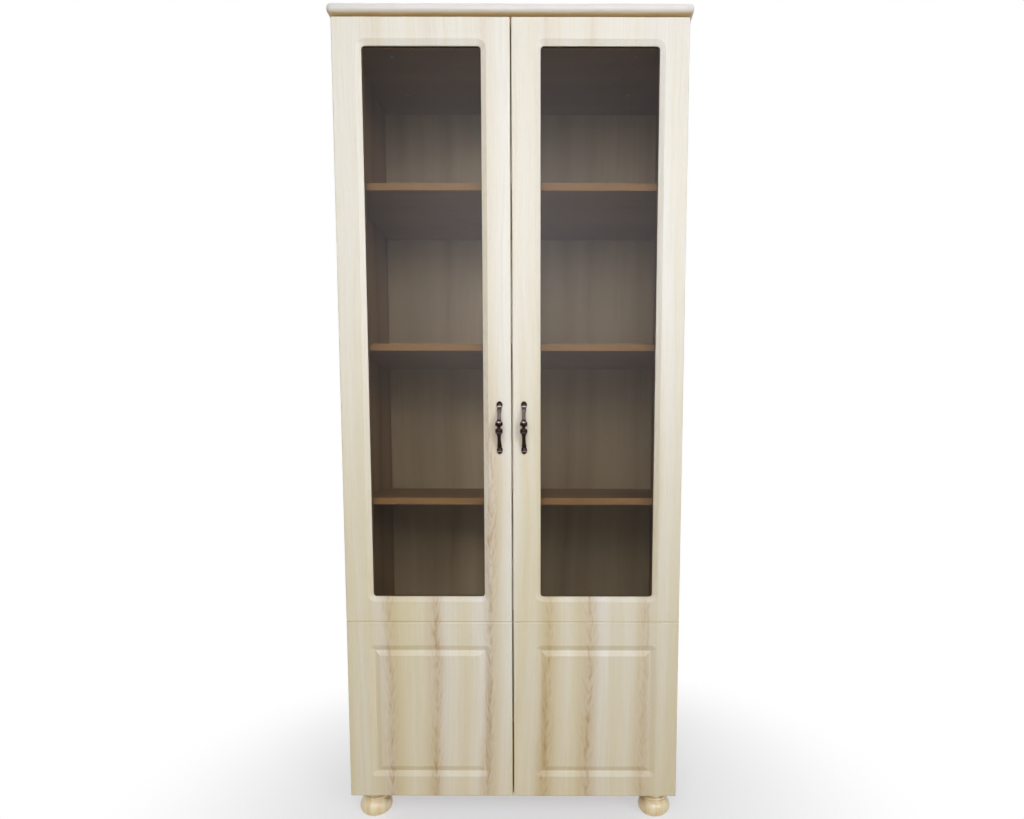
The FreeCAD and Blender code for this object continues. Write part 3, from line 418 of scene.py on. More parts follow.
# Where streaks run: distance of each from the cabinet's middle, across the grain
DOOR_STREAKS = (-0.302, -0.187, -0.060, 0.081, 0.184, 0.319)
BOARD_STREAKS = (-0.21, -0.10, 0.02, 0.13)
GRAIN_UPRIGHT = (0, 0, 0)
GRAIN_ALONG_WIDTH = (0, math.radians(90), 0)
GRAIN_ACROSS_DEPTH = (0, 0, math.radians(90))
FACE_MARGIN = 0.00005


def ash_figure(wires, figure, colours, streak_depth, turn, streak_top=1.0):
    """The ash figure in ground, shade and streak colours, with its grain turned from Z by three angles."""
    place = wires.object_place()
    if any(turn):
        place = wires.put("ShaderNodeMapping", {"Vector": place, "Rotation": turn}).outputs[0]
    ground, shade, streak = colours
    return placed_group(wires, figure, {"Place": place, "Ground": ground, "Shade": shade, "Streak": streak,
                                        "Streak depth": streak_depth, "Streak top": streak_top})


def ash_finish(name, figure, colours, streak_depth, turn, streak_top=1.0):
    """A satin ash foil."""
    material, wires, shader = new_finish(name)
    ash = ash_figure(wires, figure, colours, streak_depth, turn, streak_top)
    wires.feed(shader.inputs["Base Color"], ash.outputs["Color"])
    wires.feed(shader.inputs["Roughness"], ash.outputs["Roughness"])
    bump = wires.put("ShaderNodeBump", {"Strength": FOIL_BUMP, "Distance": FOIL_BUMP_DEPTH,
                                        "Height": ash.outputs["Height"]})
    wires.feed(shader.inputs["Normal"], bump.outputs[0])
    return material, wires, shader, ash


LEAF_LINES = (-0.2, 0.5)


class CABINET_OT_doors(Operator):
    """Pressed foil on the door leaves, white facing on their backs"""

    bl_idname = "cabinet.doors"
    bl_label = "Doors"

    def execute(self, context):
        finishes = context.scene.cabinet_finishes
        figure = ash_group("Door ash figure", DOOR_STREAKS)
        foil = (finishes.foil_ground, finishes.foil_shade, finishes.foil_streak)
        material, wires, shader, ash = ash_finish("door_ash_foil", figure, foil, finishes.foil_streak_depth,
                                                  GRAIN_UPRIGHT, finishes.foil_streak_top)
        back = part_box("left_door_panel")[1].y
        facing = wires.maths("GREATER_THAN", wires.object_axis("Y"), back - FACE_MARGIN)
        lines = wires.spread(ash.outputs["Height"], *LEAF_LINES)
        lined = wires.blend(lines, finishes.leaf_shade, finishes.leaf_back)
        wires.feed(shader.inputs["Base Color"], wires.blend(facing, ash.outputs["Color"], lined))
        dress(material, [f"{side}_door_panel" for side in SIDES])
        return {"FINISHED"}


# Carcass: how strongly streaks show on each board, and the foil's lower edge on the top board
TOP_STREAK_DEPTH = 0.25
BOARD_STREAK_DEPTH = 0.5
BACK_STREAK_DEPTH = 0.25
# The outer sides fade towards the top in the same way, partly painted light
SIDE_STREAK_TOP = 0.35
UNDERSIDE_SHADE_EDGE = 0.0003
FOIL_EDGE = 0.001
# Edging and raw hardboard
BAND_MOTTLE_SCALE = (30.0, 400.0, 400.0)
BAND_MOTTLE_RANGE = (0.35, 0.7)
BAND_WORN_SHARE = 0.86
FLECK_SCALE = (420.0, 420.0, 420.0)
FLECK_RANGE = (0.35, 0.7, 0.0, 0.6)
CLOUD_SCALE = (9.0, 9.0, 6.0)
CLOUD_RANGE = (0.38, 0.62, 0.0, 0.4)


def edge_banded(wires, shader, board_colour, band_colour, front):
    """Plastic edging on a board's front edge."""
    mottle = wires.noise(wires.object_place(), BAND_MOTTLE_SCALE)
    toned_colour = shaded(band_colour, BAND_WORN_SHARE)
    band = wires.blend(wires.spread(mottle, *BAND_MOTTLE_RANGE), band_colour, toned_colour)
    edge = wires.maths("LESS_THAN", wires.object_axis("Y"), front + FACE_MARGIN)
    wires.feed(shader.inputs["Base Color"], wires.blend(edge, board_colour, band))


def top_foil(finishes, figure):
    """Pale foil on the top board, and a tan colour on its underside that is painted warm shade."""
    colours = (finishes.top_ground, finishes.top_shade, finishes.board_streak)
    top, wires, shader, ash = ash_finish("top_ash_foil", figure, colours, TOP_STREAK_DEPTH,
                                         GRAIN_ALONG_WIDTH)
    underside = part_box("top_board")[0].z
    # Painted shade: tan below the foil's lower edge
    foiled = wires.spread(wires.object_axis("Z"), underside + UNDERSIDE_SHADE_EDGE, underside + FOIL_EDGE)
    wires.feed(shader.inputs["Base Color"], wires.blend(foiled, finishes.top_underside_shade, ash.outputs["Color"]))
    dress(top, ["top_board"])


def side_boards(finishes, figure, boards):
    """Brown boards inside, and the doors' pale ash on the outer faces."""
    side, wires, shader, ash = ash_finish("upright_ash_board", figure, boards, BOARD_STREAK_DEPTH,
                                          GRAIN_ACROSS_DEPTH)
    foil = (finishes.foil_ground, finishes.foil_shade, finishes.foil_streak)
    outside = ash_figure(wires, figure, foil, BOARD_STREAK_DEPTH, GRAIN_ACROSS_DEPTH, SIDE_STREAK_TOP)
    low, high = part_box("right_side_panel")
    across = wires.maths("ABSOLUTE", wires.object_axis("X"))
    outer = wires.maths("GREATER_THAN", across, high.x - FACE_MARGIN)
    faced = wires.blend(outer, ash.outputs["Color"], outside.outputs["Color"])
    edge_banded(wires, shader, faced, finishes.edge_band, low.y)
    dress(side, ["left_side_panel", "right_side_panel"])


def back_hardboard(finishes, figure):
    """A pale face towards the shelves and a raw rear face."""
    colours = (finishes.back_ground, finishes.back_shade, finishes.board_streak)
    back, wires, shader, ash = ash_finish("back_hardboard", figure, colours, BACK_STREAK_DEPTH,
                                          GRAIN_UPRIGHT)
    place = wires.object_place()
    clouds = wires.noise(place, CLOUD_SCALE, detail=4.0, roughness=COARSE_ROUGHNESS)
    patched = wires.blend(wires.spread(clouds, *CLOUD_RANGE), finishes.hardboard, finishes.hardboard_shade)
    flecks = wires.noise(place, FLECK_SCALE, detail=3.0)
    raw = wires.blend(wires.spread(flecks, *FLECK_RANGE), patched, finishes.board_streak)
    rear = wires.maths("GREATER_THAN", wires.object_axis("Y"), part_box("back_panel")[1].y - FACE_MARGIN)
    wires.feed(shader.inputs["Base Color"], wires.blend(rear, ash.outputs["Color"], raw))
    dress(back, ["back_panel"])


class CABINET_OT_carcass(Operator):
    """Foil on the top board, ash boards, and a back panel with a raw rear face"""

    bl_idname = "cabinet.carcass"
    bl_label = "Carcass"

    def execute(self, context):
        finishes = context.scene.cabinet_finishes
        figure = ash_group("Board ash figure", BOARD_STREAKS)
        top_foil(finishes, figure)
        colours = (finishes.board_ground, finishes.board_shade, finishes.board_streak)
        level_boards = {
            "level_ash_board": ["carcass_top", "bottom_panel"],
            "shelf_ash_board": ["upper_shelf", "middle_shelf", "lower_shelf", "base_shelf"],
        }
        for name, boards in level_boards.items():
            board, wires, shader, ash = ash_finish(name, figure, colours, BOARD_STREAK_DEPTH,
                                                   GRAIN_ALONG_WIDTH)
            edge_banded(wires, shader, ash.outputs["Color"], finishes.edge_band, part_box(boards[0])[0].y)
            dress(board, boards)
        side_boards(finishes, figure, colours)
        back_hardboard(finishes, figure)
        return {"FINISHED"}


GLASS_CLOUD_SCALE = (3.0, 3.0, 2.0)
GLASS_DEEP_SHARE = 0.92
BEAD_SCALE = (60.0, 60.0, 60.0)
BEAD_PALE_SHARE = 1.15
BEAD_ROUGHNESS = (0.45, 0.6)


class CABINET_OT_glass(Operator):
    """Bronze glass in the doors, and the bead behind it"""

    bl_idname = "cabinet.glass"
    bl_label = "Glass"

    def execute(self, context):
        finishes = context.scene.cabinet_finishes
        material, wires, shader = new_finish("bronze_glass")
        cloud = wires.noise(wires.object_place(), GLASS_CLOUD_SCALE)
        deep = shaded(finishes.glass_tint, GLASS_DEEP_SHARE)
        wires.feed(shader.inputs["Base Color"],
                   wires.blend(wires.spread(cloud, *MOTTLED), finishes.glass_tint, deep))
        wires.feed(shader.inputs["Roughness"], 0.0)
        wires.feed(shader.inputs["IOR"], finishes.glass_bend)
        wires.feed(shader.inputs["Coat Weight"], finishes.glass_veil)
        wires.feed(shader.inputs["Coat Roughness"], finishes.glass_veil_roughness)
        wires.feed(shader.inputs["Transmission Weight"], 1.0)
        once = tuple(math.sqrt(value) for value in finishes.glass_tint)
        lamps = wires.put("ShaderNodeBsdfTransparent", {"Color": once})
        shadow_ray = wires.put("ShaderNodeLightPath").outputs["Is Shadow Ray"]
        mixed = wires.put("ShaderNodeMixShader", {0: shadow_ray, 1: shader.outputs[0], 2: lamps.outputs[0]})
        wires.surface(mixed.outputs[0])
        dress(material, [f"{side}_glass" for side in SIDES])

        pale = shaded(finishes.bead, BEAD_PALE_SHARE)
        bead = mottled_finish("glazing_bead_plastic", BEAD_SCALE, finishes.bead, pale, BEAD_ROUGHNESS,
                              detail=3.0)
        dress(bead, [f"{side}_glazing_bead" for side in SIDES])
        return {"FINISHED"}


RING_SCALE = (95.0, 60.0, 6.0)
RING_RANGE = (0.42, 0.66)
RING_ROUGHNESS = 0.4
PINE_FIBRE_SCALE = (900.0, 900.0, 40.0)
PINE_FIBRE_RANGE = (0.5, 0.9, 0.0, 0.3)
PINE_ROUGHNESS = (0.28, 0.38)
LACQUER_WEIGHT = 0.6
LACQUER_ROUGHNESS = 0.12


class CABINET_OT_feet(Operator):
    """Lacquered pine on the turned feet and the dowels"""

    bl_idname = "cabinet.feet"
    bl_label = "Feet"

    def execute(self, context):
        finishes = context.scene.cabinet_finishes
        material, wires, shader = new_finish("lacquered_pine")
        place = wires.object_place()
        rings = wires.noise(place, RING_SCALE, roughness=RING_ROUGHNESS)
        fibres = wires.noise(place, PINE_FIBRE_SCALE)
        ground = wires.blend(wires.spread(rings, *RING_RANGE), finishes.foot_ground, finishes.foot_shade)
        wires.feed(shader.inputs["Base Color"],
                   wires.blend(wires.spread(fibres, *PINE_FIBRE_RANGE), ground, finishes.foot_shade))
        wires.feed(shader.inputs["Roughness"], wires.spread(fibres, *ROUGHENED, *PINE_ROUGHNESS))
        wires.feed(shader.inputs["Coat Weight"], LACQUER_WEIGHT)
        wires.feed(shader.inputs["Coat Roughness"], LACQUER_ROUGHNESS)
        feet = ["front_left_foot", "front_right_foot", "rear_left_foot", "rear_right_foot"]
        dress(material, [*feet, "dowels"])
        return {"FINISHED"}


# New pieces
SHARP_ANGLE = math.radians(38)
MERGE_DISTANCE = 0.00001


def rounded(mesh):
    """Smooth shading with the sharp turns kept."""
    mesh.shade_smooth()
    mesh.set_sharp_from_angle(angle=SHARP_ANGLE)


def loose_object(name, shape):
    """An object that holds a bmesh, which is freed."""
    mesh = bpy.data.meshes.new(name)
    shape.to_mesh(mesh)
    shape.free()
    made = bpy.data.objects.new(name, mesh)
    bpy.context.scene.collection.objects.link(made)
    return made


def carve(body, tool, operation):
    """Join an object with another, or cut it by the other, which is used up."""
    step = body.modifiers.new("carve", "BOOLEAN")
    step.operation = operation
    step.solver = "EXACT"
    step.object = tool
    whole = body.evaluated_get(bpy.context.evaluated_depsgraph_get())
    mesh = bpy.data.meshes.new_from_object(whole)
    spare = (body.data, tool.data)
    body.modifiers.remove(step)
    body.data = mesh
    bpy.data.objects.remove(tool)
    for used in spare:
        bpy.data.meshes.remove(used)


def taken_mesh(body, name):
    """The mesh of an object that isn't needed any more."""
    mesh = body.data
    mesh.name = name
    bpy.data.objects.remove(body)
    return mesh


def add_piece(name, mesh, material, body, nodes):
    """A finished piece that rides on a body and stands for CAD nodes."""
    rounded(mesh)
    mesh.materials.clear()
    mesh.materials.append(material)
    piece = bpy.data.objects.new(name, mesh)
    bpy.context.scene.collection.objects.link(piece)
    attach(piece, body)
    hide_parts(*nodes)


def only(items, kind):
    """The vertices or the edges among the items that a bmesh operator gives back."""
    return [item for item in items if isinstance(item, kind)]


def new_rim(grown):
    """The vertices that an extrusion made, and the edges between them."""
    verts = only(grown, bmesh.types.BMVert)
    edges = only(grown, bmesh.types.BMEdge)
    return verts, [edge for edge in edges if all(vert in verts for vert in edge.verts)]


# Outline of the handles' turned bow: distance from its middle along the arc, and radius
BOW_OUTLINE = ((0.0, 0.0036), (0.0012, 0.0036), (0.0016, 0.0049), (0.0024, 0.0051), (0.0029, 0.0047),
               (0.0032, 0.0064), (0.0037, 0.0079), (0.0050, 0.0087), (0.0090, 0.0088), (0.0124, 0.0085),
               (0.0138, 0.0076), (0.0146, 0.0056), (0.0151, 0.0047), (0.0156, 0.0055), (0.0166, 0.0058),
               (0.0175, 0.0054), (0.0180, 0.0046), (0.0215, 0.0042), (0.0300, 0.0042), (0.0375, 0.0046),
               (0.0425, 0.0052), (0.0440, 0.0056), (0.0455, 0.0058), (0.0468, 0.0054), (0.0478, 0.0044),
               (0.0500, 0.0042), (0.0530, 0.0042))
BOW_CENTRES = 0.096
BOW_SIDES = 28
# Domed feet of the handles: distance beyond the bow's centres, and faces round and over a dome
FOOT_SHIFT = 0.0042
DOME_TURNS = 32
DOME_STEPS = 20
# Painted highlight on the upper arm of the handles, which is lighter than the lower arm because light falls
# from above: heights above the middle between which it comes and goes
ARM_LIGHT_START = 0.012
ARM_LIGHT_FULL = 0.02
ARM_LIGHT_END = 0.041
ARM_LIGHT_FADED = 0.047
ARM_LIGHT_SHARE = 0.75
# Rims with painted highlights, stronger on the upper rims where light falls from above: distance above the
# handle's middle, half width, and share of the highlight colour
HIGHLIGHT_RIMS = ((0.0490, 0.0024, 0.9), (0.0125, 0.0024, 0.5), (-0.0125, 0.0018, 0.15),
               (-0.0548, 0.0018, 0.5))
# Patina noise that breaks up the painted rim highlights
RIM_HIGHLIGHT_BREAKUP = (0.35, 0.6, 0.45, 1.0)
PATINA_SCALE = (160.0, 160.0, 110.0)
PATINA_RANGE = (0.5, 0.8, -0.25, 0.6)
BRONZE_ROUGHNESS = (0.3, 0.8, 0.2, 0.1)


def spindle(middle, sagitta):
    """A turned rod along the arc of a bow handle, swept ring by ring."""
    radius = ((BOW_CENTRES / 2) ** 2 + sagitta ** 2) / (2 * sagitta)
    outline = [(-reach, size) for reach, size in reversed(BOW_OUTLINE)] + list(BOW_OUTLINE[1:])

    def ring(reach, size):
        turn = reach / radius
        centre = middle + Vector((0, radius * (1 - math.cos(turn)), radius * math.sin(turn)))
        return Matrix.Translation(centre) @ Matrix.Rotation(-turn, 4, "X") @ Matrix.Scale(size, 4)

    shape = bmesh.new()
    here = ring(*outline[0])
    bmesh.ops.create_circle(shape, segments=BOW_SIDES, radius=1, cap_ends=True, matrix=here)
    edges = shape.edges[:]
    for reach, size in outline[1:]:
        grown = bmesh.ops.extrude_edge_only(shape, edges=edges)["geom"]
        there = ring(reach, size)
        verts, edges = new_rim(grown)
        bmesh.ops.transform(shape, matrix=there @ here.inverted(), verts=verts)
        here = there
    bmesh.ops.contextual_create(shape, geom=edges)
    bmesh.ops.recalc_face_normals(shape, faces=shape.faces[:])
    return shape


def foot_dome(centre, sizes):
    """Half an egg with a low rim below it, closed at the bottom."""
    rise = sizes.foot_rise - sizes.foot_rim
    size = Matrix.Diagonal((sizes.foot_width / 2, rise, sizes.foot_length / 2, 1))
    dome = bmesh.new()
    bmesh.ops.create_uvsphere(dome, u_segments=DOME_TURNS, v_segments=DOME_STEPS, radius=1,
                              matrix=Matrix.Translation(centre) @ size)
    cut = bmesh.ops.bisect_plane(dome, geom=dome.verts[:] + dome.edges[:] + dome.faces[:], plane_co=centre,
                                 plane_no=(0, 1, 0), clear_outer=True)["geom_cut"]
    grown = bmesh.ops.extrude_edge_only(dome, edges=only(cut, bmesh.types.BMEdge))["geom"]
    base, rim = new_rim(grown)
    bmesh.ops.translate(dome, verts=base, vec=(0, sizes.foot_rim, 0))
    bmesh.ops.contextual_create(dome, geom=rim)
    bmesh.ops.recalc_face_normals(dome, faces=dome.faces[:])
    return dome


def foot_domes(middle, face, sizes):
    """The two domes by which a bow handle stands on its door."""
    shape = bmesh.new()
    for end in (-1, 1):
        height = middle.z + end * (BOW_CENTRES / 2 + FOOT_SHIFT)
        dome = foot_dome(Vector((middle.x, face - sizes.foot_rim, height)), sizes)
        mesh = bpy.data.meshes.new("foot_dome")
        dome.to_mesh(mesh)
        dome.free()
        shape.from_mesh(mesh)
        bpy.data.meshes.remove(mesh)
    return shape


def bow_handle(side, bronze, sizes):
    """One bow handle on two domed feet."""
    low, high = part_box(f"{side}_handle")
    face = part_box(f"{side}_door_panel")[0].y
    deepest = max(size for reach, size in BOW_OUTLINE)
    middle = Vector(((low.x + high.x) / 2, low.y + deepest, (low.z + high.z) / 2))
    bow = loose_object("bow", spindle(middle, face - middle.y))
    carve(bow, loose_object("feet", foot_domes(middle, face, sizes)), "UNION")
    name = f"{side}_bow_handle"
    add_piece(name, taken_mesh(bow, name), bronze, f"{side}_door", [f"{side}_handle"])


def antique_bronze(finishes):
    """Dark patina with rubbed patches, a painted highlight on the upper arm, and painted highlights on the
    rims.
    """
    bronze, wires, shader = new_finish("antique_bronze")
    patina = wires.noise(wires.object_place(), PATINA_SCALE, detail=4.0, roughness=COARSE_ROUGHNESS)
    height = wires.object_axis("Z")
    low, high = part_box("left_handle")
    middle = (low.z + high.z) / 2
    # Painted highlight: the upper arm is made lighter, because light falls on it from above
    above = wires.spread(height, middle + ARM_LIGHT_START, middle + ARM_LIGHT_FULL, 0.0, ARM_LIGHT_SHARE)
    below = wires.spread(height, middle + ARM_LIGHT_END, middle + ARM_LIGHT_FADED, 1.0, 0.0)
    arm_highlight = wires.maths("MULTIPLY", above, below)
    # Rubbed patches from the patina noise, plus the painted highlight on the upper arm
    rubbed_and_lit = wires.maths("ADD", wires.spread(patina, *PATINA_RANGE), arm_highlight, clamp=True)
    # Painted highlights on the rims, strongest on the upper rims, where light falls from above
    rim_highlight = 0.0
    for offset, half_width, share in HIGHLIGHT_RIMS:
        apart = wires.maths("ABSOLUTE", wires.maths("SUBTRACT", height, middle + offset))
        rim_highlight = wires.maths("MAXIMUM", rim_highlight, wires.spread(apart, 0.0, half_width, share, 0.0))
    rim_highlight = wires.maths("MULTIPLY", rim_highlight, wires.spread(patina, *RIM_HIGHLIGHT_BREAKUP))
    # Patina colour with the rubbed patches and the painted upper-arm highlight
    toned_colour = wires.blend(rubbed_and_lit, finishes.bronze_dark, finishes.bronze_rubbed_and_lit)
    wires.feed(shader.inputs["Base Color"], wires.blend(rim_highlight, toned_colour, finishes.bronze_highlight))
    wires.feed(shader.inputs["Metallic"], 1.0)
    wires.feed(shader.inputs["Roughness"], wires.spread(patina, *BRONZE_ROUGHNESS))
    return bronze


class CABINET_OT_handles(Operator):
    """Turned bow handles in antique bronze"""

    bl_idname = "cabinet.handles"
    bl_label = "Handles"

    def execute(self, context):
        bronze = antique_bronze(context.scene.cabinet_finishes)
        for side in SIDES:
            bow_handle(side, bronze, context.scene.cabinet_handles)
        return {"FINISHED"}


STEEL_NAME = "plated_steel"
STEEL_SCALE = (900.0, 900.0, 60.0)
STEEL_DULL_SHARE = 0.8
STEEL_ROUGHNESS = (0.24, 0.4)


def plated_steel(finishes):
    """Brushed and plated steel of hinges and screws, made once."""
    known = bpy.data.materials.get(STEEL_NAME)
    if known:
        return known
    dull = shaded(finishes.steel, STEEL_DULL_SHARE)
    return mottled_finish(STEEL_NAME, STEEL_SCALE, finishes.steel, dull, STEEL_ROUGHNESS, metallic=1.0)


class CABINET_OT_hinges(Operator):
    """Plated steel on the hinges, shelf pins, nails and hidden screws"""

    bl_idname = "cabinet.hinges"
    bl_label = "Hinges and hidden steel"

    def execute(self, context):
        steel = plated_steel(context.scene.cabinet_finishes)
        parts = ("hinge_cups", "hinge_arms", "hinge_plates", "hinge_pins")
        dress(steel, [f"{side}_{part}" for side in SIDES for part in parts])
        dress(steel, ["carcass_screws", "top_board_screws", "foot_bolts", "back_nails", "shelf_pins"])
        return {"FINISHED"}


# Screws with cross recesses: height of the head and width of the shank, by kind
SCREWS = {"cup_screws": (0.0015, 0.0035), "plate_screws": (0.0015, 0.0035), "arm_screws": (0.0015, 0.0035),
          "handle_screws": (0.0024, 0.0040)}
SCREWS_IN_DOOR = ("cup_screws", "handle_screws")
# Round head from its top outwards: share of the head's radius, and of its height
SCREW_HEAD = ((0.0, 0.0), (0.55, 0.08), (0.85, 0.32), (1.0, 0.8), (0.96, 1.0))
SCREW_TURNS = 24
RECESS_SHARE = 0.56
RECESS_WIDTH_SHARE = 0.17
RECESS_HEIGHT_SHARE = 1.1
RECESS_TURNS = (0, math.radians(90))


def solid_boxes(node):
    """The lowest and highest corner of each separate solid in a CAD node, from the floor up."""
    shape = bmesh.new()
    shape.from_mesh(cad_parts[node].data)
    bmesh.ops.remove_doubles(shape, verts=shape.verts[:], dist=MERGE_DISTANCE)
    boxes = []
    waiting = set(shape.verts)
    for first in shape.verts:
        if first not in waiting:
            continue
        waiting.remove(first)
        island = [first]
        for vert in island:
            linked = [edge.other_vert(vert) for edge in vert.link_edges]
            fresh = [other for other in linked if other in waiting]
            waiting.difference_update(fresh)
            island.extend(fresh)
        low = Vector(min(vert.co[axis] for vert in island) for axis in range(3))
        high = Vector(max(vert.co[axis] for vert in island) for axis in range(3))
        boxes.append((low, high))
    shape.free()
    return sorted(boxes, key=lambda corners: tuple(corners[0])[::-1])


def screw_shape(whole_length, head_width, head_height, shank_width):
    """A round-headed screw with a cross recess, which points down -Z and has its top at the origin."""
    shank = shank_width / 2
    outline = [(share * head_width / 2, -depth * head_height) for share, depth in SCREW_HEAD]
    outline += [(shank, -head_height), (shank, -whole_length + shank), (0, -whole_length)]
    shape = bmesh.new()
    points = [shape.verts.new((reach, 0, height)) for reach, height in outline]
    edges = [shape.edges.new(pair) for pair in zip(points, points[1:])]
    bmesh.ops.spin(shape, geom=points + edges, cent=(0, 0, 0), axis=(0, 0, 1), angle=math.tau,
                   steps=SCREW_TURNS, use_merge=True)
    bmesh.ops.remove_doubles(shape, verts=shape.verts[:], dist=MERGE_DISTANCE)
    bmesh.ops.recalc_face_normals(shape, faces=shape.faces[:])
    screw = loose_object("screw", shape)
    size = Matrix.Diagonal((head_width * RECESS_SHARE, head_width * RECESS_WIDTH_SHARE,
                            head_height * RECESS_HEIGHT_SHARE, 1))
    for turn in RECESS_TURNS:
        arm = bmesh.new()
        bmesh.ops.create_cube(arm, size=1, matrix=Matrix.Rotation(turn, 4, "Z") @ size)
        carve(screw, loose_object("recess", arm), "DIFFERENCE")
    return taken_mesh(screw, "screw")


def cross_screws(side, kind, steel):
    """All screws of one kind on one side, in one piece."""
    head_height, shank_width = SCREWS[kind]
    inward = 1 if side == "left" else -1
    into_door = kind in SCREWS_IN_DOOR
    axis = 1 if into_door else 0
    facing = Vector((0, 1, 0)) if into_door else Vector((inward, 0, 0))
    boxes = solid_boxes(f"{side}_{kind}")
    low, high = boxes[0]
    template = screw_shape(high[axis] - low[axis], high.z - low.z, head_height, shank_width)
    shape = bmesh.new()
    for low, high in boxes:
        top = (low + high) / 2
        top[axis] = high[axis] if facing[axis] > 0 else low[axis]
        place = Matrix.Translation(top) @ facing.to_track_quat("Z", "Y").to_matrix().to_4x4()
        known = len(shape.verts)
        shape.from_mesh(template)
        shape.verts.ensure_lookup_table()
        bmesh.ops.transform(shape, matrix=place, verts=shape.verts[known:])
    bpy.data.meshes.remove(template)
    name = f"{side}_cross_{kind}"
    mesh = bpy.data.meshes.new(name)
    shape.to_mesh(mesh)
    shape.free()
    body = f"{side}_door" if into_door else "carcass"
    add_piece(name, mesh, steel, body, [f"{side}_{kind}"])


class CABINET_OT_screws(Operator):
    """Screws with cross recesses in the hinges and behind the handles"""

    bl_idname = "cabinet.screws"
    bl_label = "Screws"

    def execute(self, context):
        steel = plated_steel(context.scene.cabinet_finishes)
        for side in SIDES:
            for kind in SCREWS:
                cross_screws(side, kind, steel)
        return {"FINISHED"}


CAP_SCALE = (700.0, 700.0, 700.0)
CAP_ROUGHNESS = (0.4, 0.55)
BUMPER_SCALE = (500.0, 500.0, 500.0)
BUMPER_CLEAR_SHARE = 0.85
BUMPER_ROUGHNESS = (0.3, 0.5)


class CABINET_OT_caps(Operator):
    """Plastic screw caps and soft door bumpers"""

    bl_idname = "cabinet.caps"
    bl_label = "Caps and bumpers"

    def execute(self, context):
        finishes = context.scene.cabinet_finishes
        plastic = mottled_finish("cap_plastic", CAP_SCALE, finishes.board_ground, finishes.board_shade,
                                 CAP_ROUGHNESS)
        dress(plastic, ["screw_caps"])
        clear = shaded(finishes.leaf_back, BUMPER_CLEAR_SHARE)
        soft = mottled_finish("soft_bumper", BUMPER_SCALE, finishes.leaf_back, clear, BUMPER_ROUGHNESS)
        dress(soft, [f"{side}_door_bumpers" for side in SIDES])
        return {"FINISHED"}


# Studio: places in metres, and colours of the light
FLOOR_HALF = 9.0
FLOOR_CLEAR_NEAR = 0.35
FLOOR_CLEAR_FAR = 1.1
FLOOR_GLOW = 0.5
FLOOR_ROUGHNESS = 0.9
FLOOR_COLOUR = (0.9, 0.9, 0.9)
FLOOR_BOUNCE = (0.95, 0.68, 0.06)
FLOOR_FAR_BOUNCE = (0.62, 0.58, 0.52)
KEY_PLACE = (2.3, -3.5, 2.3)
KEY_AIM = (0.0, -0.2, 1.35)
KEY_SIZE = 1.3
KEY_SPREAD = math.radians(60)
LAMP_COLOUR = (0.765, 0.81, 1.0)
FILL_PLACE = (-0.15, -2.7, 2.1)
FILL_AIM = (0.0, -0.2, 1.3)
FILL_SIZE = 2.4
CEILING_PLACE = (0.0, 0.95, 4.2)
CEILING_AIM = (0.0, 0.1, 1.9)
CEILING_SIZE = 2.0
LAMP_MIDDLE = (0.5, 0.5, 0.0)
FEATHER_RIM = 0.5
FEATHER_FULL = 0.05
SKY_COLOUR = (1.0, 0.94, 0.82)
SENSOR_WIDTH = 36.0


def softbox(name, place, aim, size, power):
    """A square area lamp that faces a point."""
    lamp = bpy.data.lights.new(name, "AREA")
    lamp.size = size
    lamp.energy = power
    lamp.color = LAMP_COLOUR
    holder = bpy.data.objects.new(name, lamp)
    bpy.context.scene.collection.objects.link(holder)
    facing = (Vector(aim) - Vector(place)).to_track_quat("-Z", "Y")
    holder.matrix_world = Matrix.Translation(place) @ facing.to_matrix().to_4x4()
    return lamp


def feather(lamp):
    """Let a lamp's light fade out towards its rim, so that its mirror image has no hard edge."""
    lamp.use_nodes = True
    wires = Wires(lamp.node_tree)
    spot = wires.put("ShaderNodeNewGeometry").outputs["Parametric"]
    from_middle = wires.put("ShaderNodeVectorMath", {0: spot, 1: LAMP_MIDDLE}, operation="DISTANCE")
    glow = wires.eased(from_middle.outputs["Value"], FEATHER_RIM, FEATHER_FULL)
    wires.feed(lamp.node_tree.nodes["Emission"].inputs["Strength"], glow)


def seen_rays(wires):
    """A mask of the rays that look at something: from the camera, or by way of gloss or glass."""
    rays = wires.put("ShaderNodeLightPath")
    seen = wires.maths("MAXIMUM", rays.outputs["Is Camera Ray"], rays.outputs["Is Glossy Ray"])
    return wires.maths("MAXIMUM", seen, rays.outputs["Is Transmission Ray"])


def pale_floor():
    """A wide white floor that keeps the shadow near the cabinet and runs out to plain white."""
    shape = bmesh.new()
    bmesh.ops.create_grid(shape, x_segments=1, y_segments=1, size=FLOOR_HALF)
    floor = loose_object("studio_floor", shape)
    material, wires, shader = new_finish("studio_floor")
    wires.feed(shader.inputs["Roughness"], FLOOR_ROUGHNESS)
    reach = wires.put("ShaderNodeVectorMath", {0: wires.object_place()}, operation="LENGTH")
    far = wires.eased(reach.outputs["Value"], FLOOR_CLEAR_NEAR, FLOOR_CLEAR_FAR, FLOOR_GLOW)
    seen = seen_rays(wires)
    bounce = wires.blend(far, FLOOR_BOUNCE, FLOOR_FAR_BOUNCE)
    wires.feed(shader.inputs["Base Color"], wires.blend(seen, bounce, FLOOR_COLOUR))
    white = wires.put("ShaderNodeEmission", {"Strength": 1.0})
    cleared = wires.maths("MULTIPLY", far, seen)
    mixed = wires.put("ShaderNodeMixShader", {0: cleared, 1: shader.outputs[0], 2: white.outputs[0]})
    wires.surface(mixed.outputs[0])
    floor.data.materials.append(material)


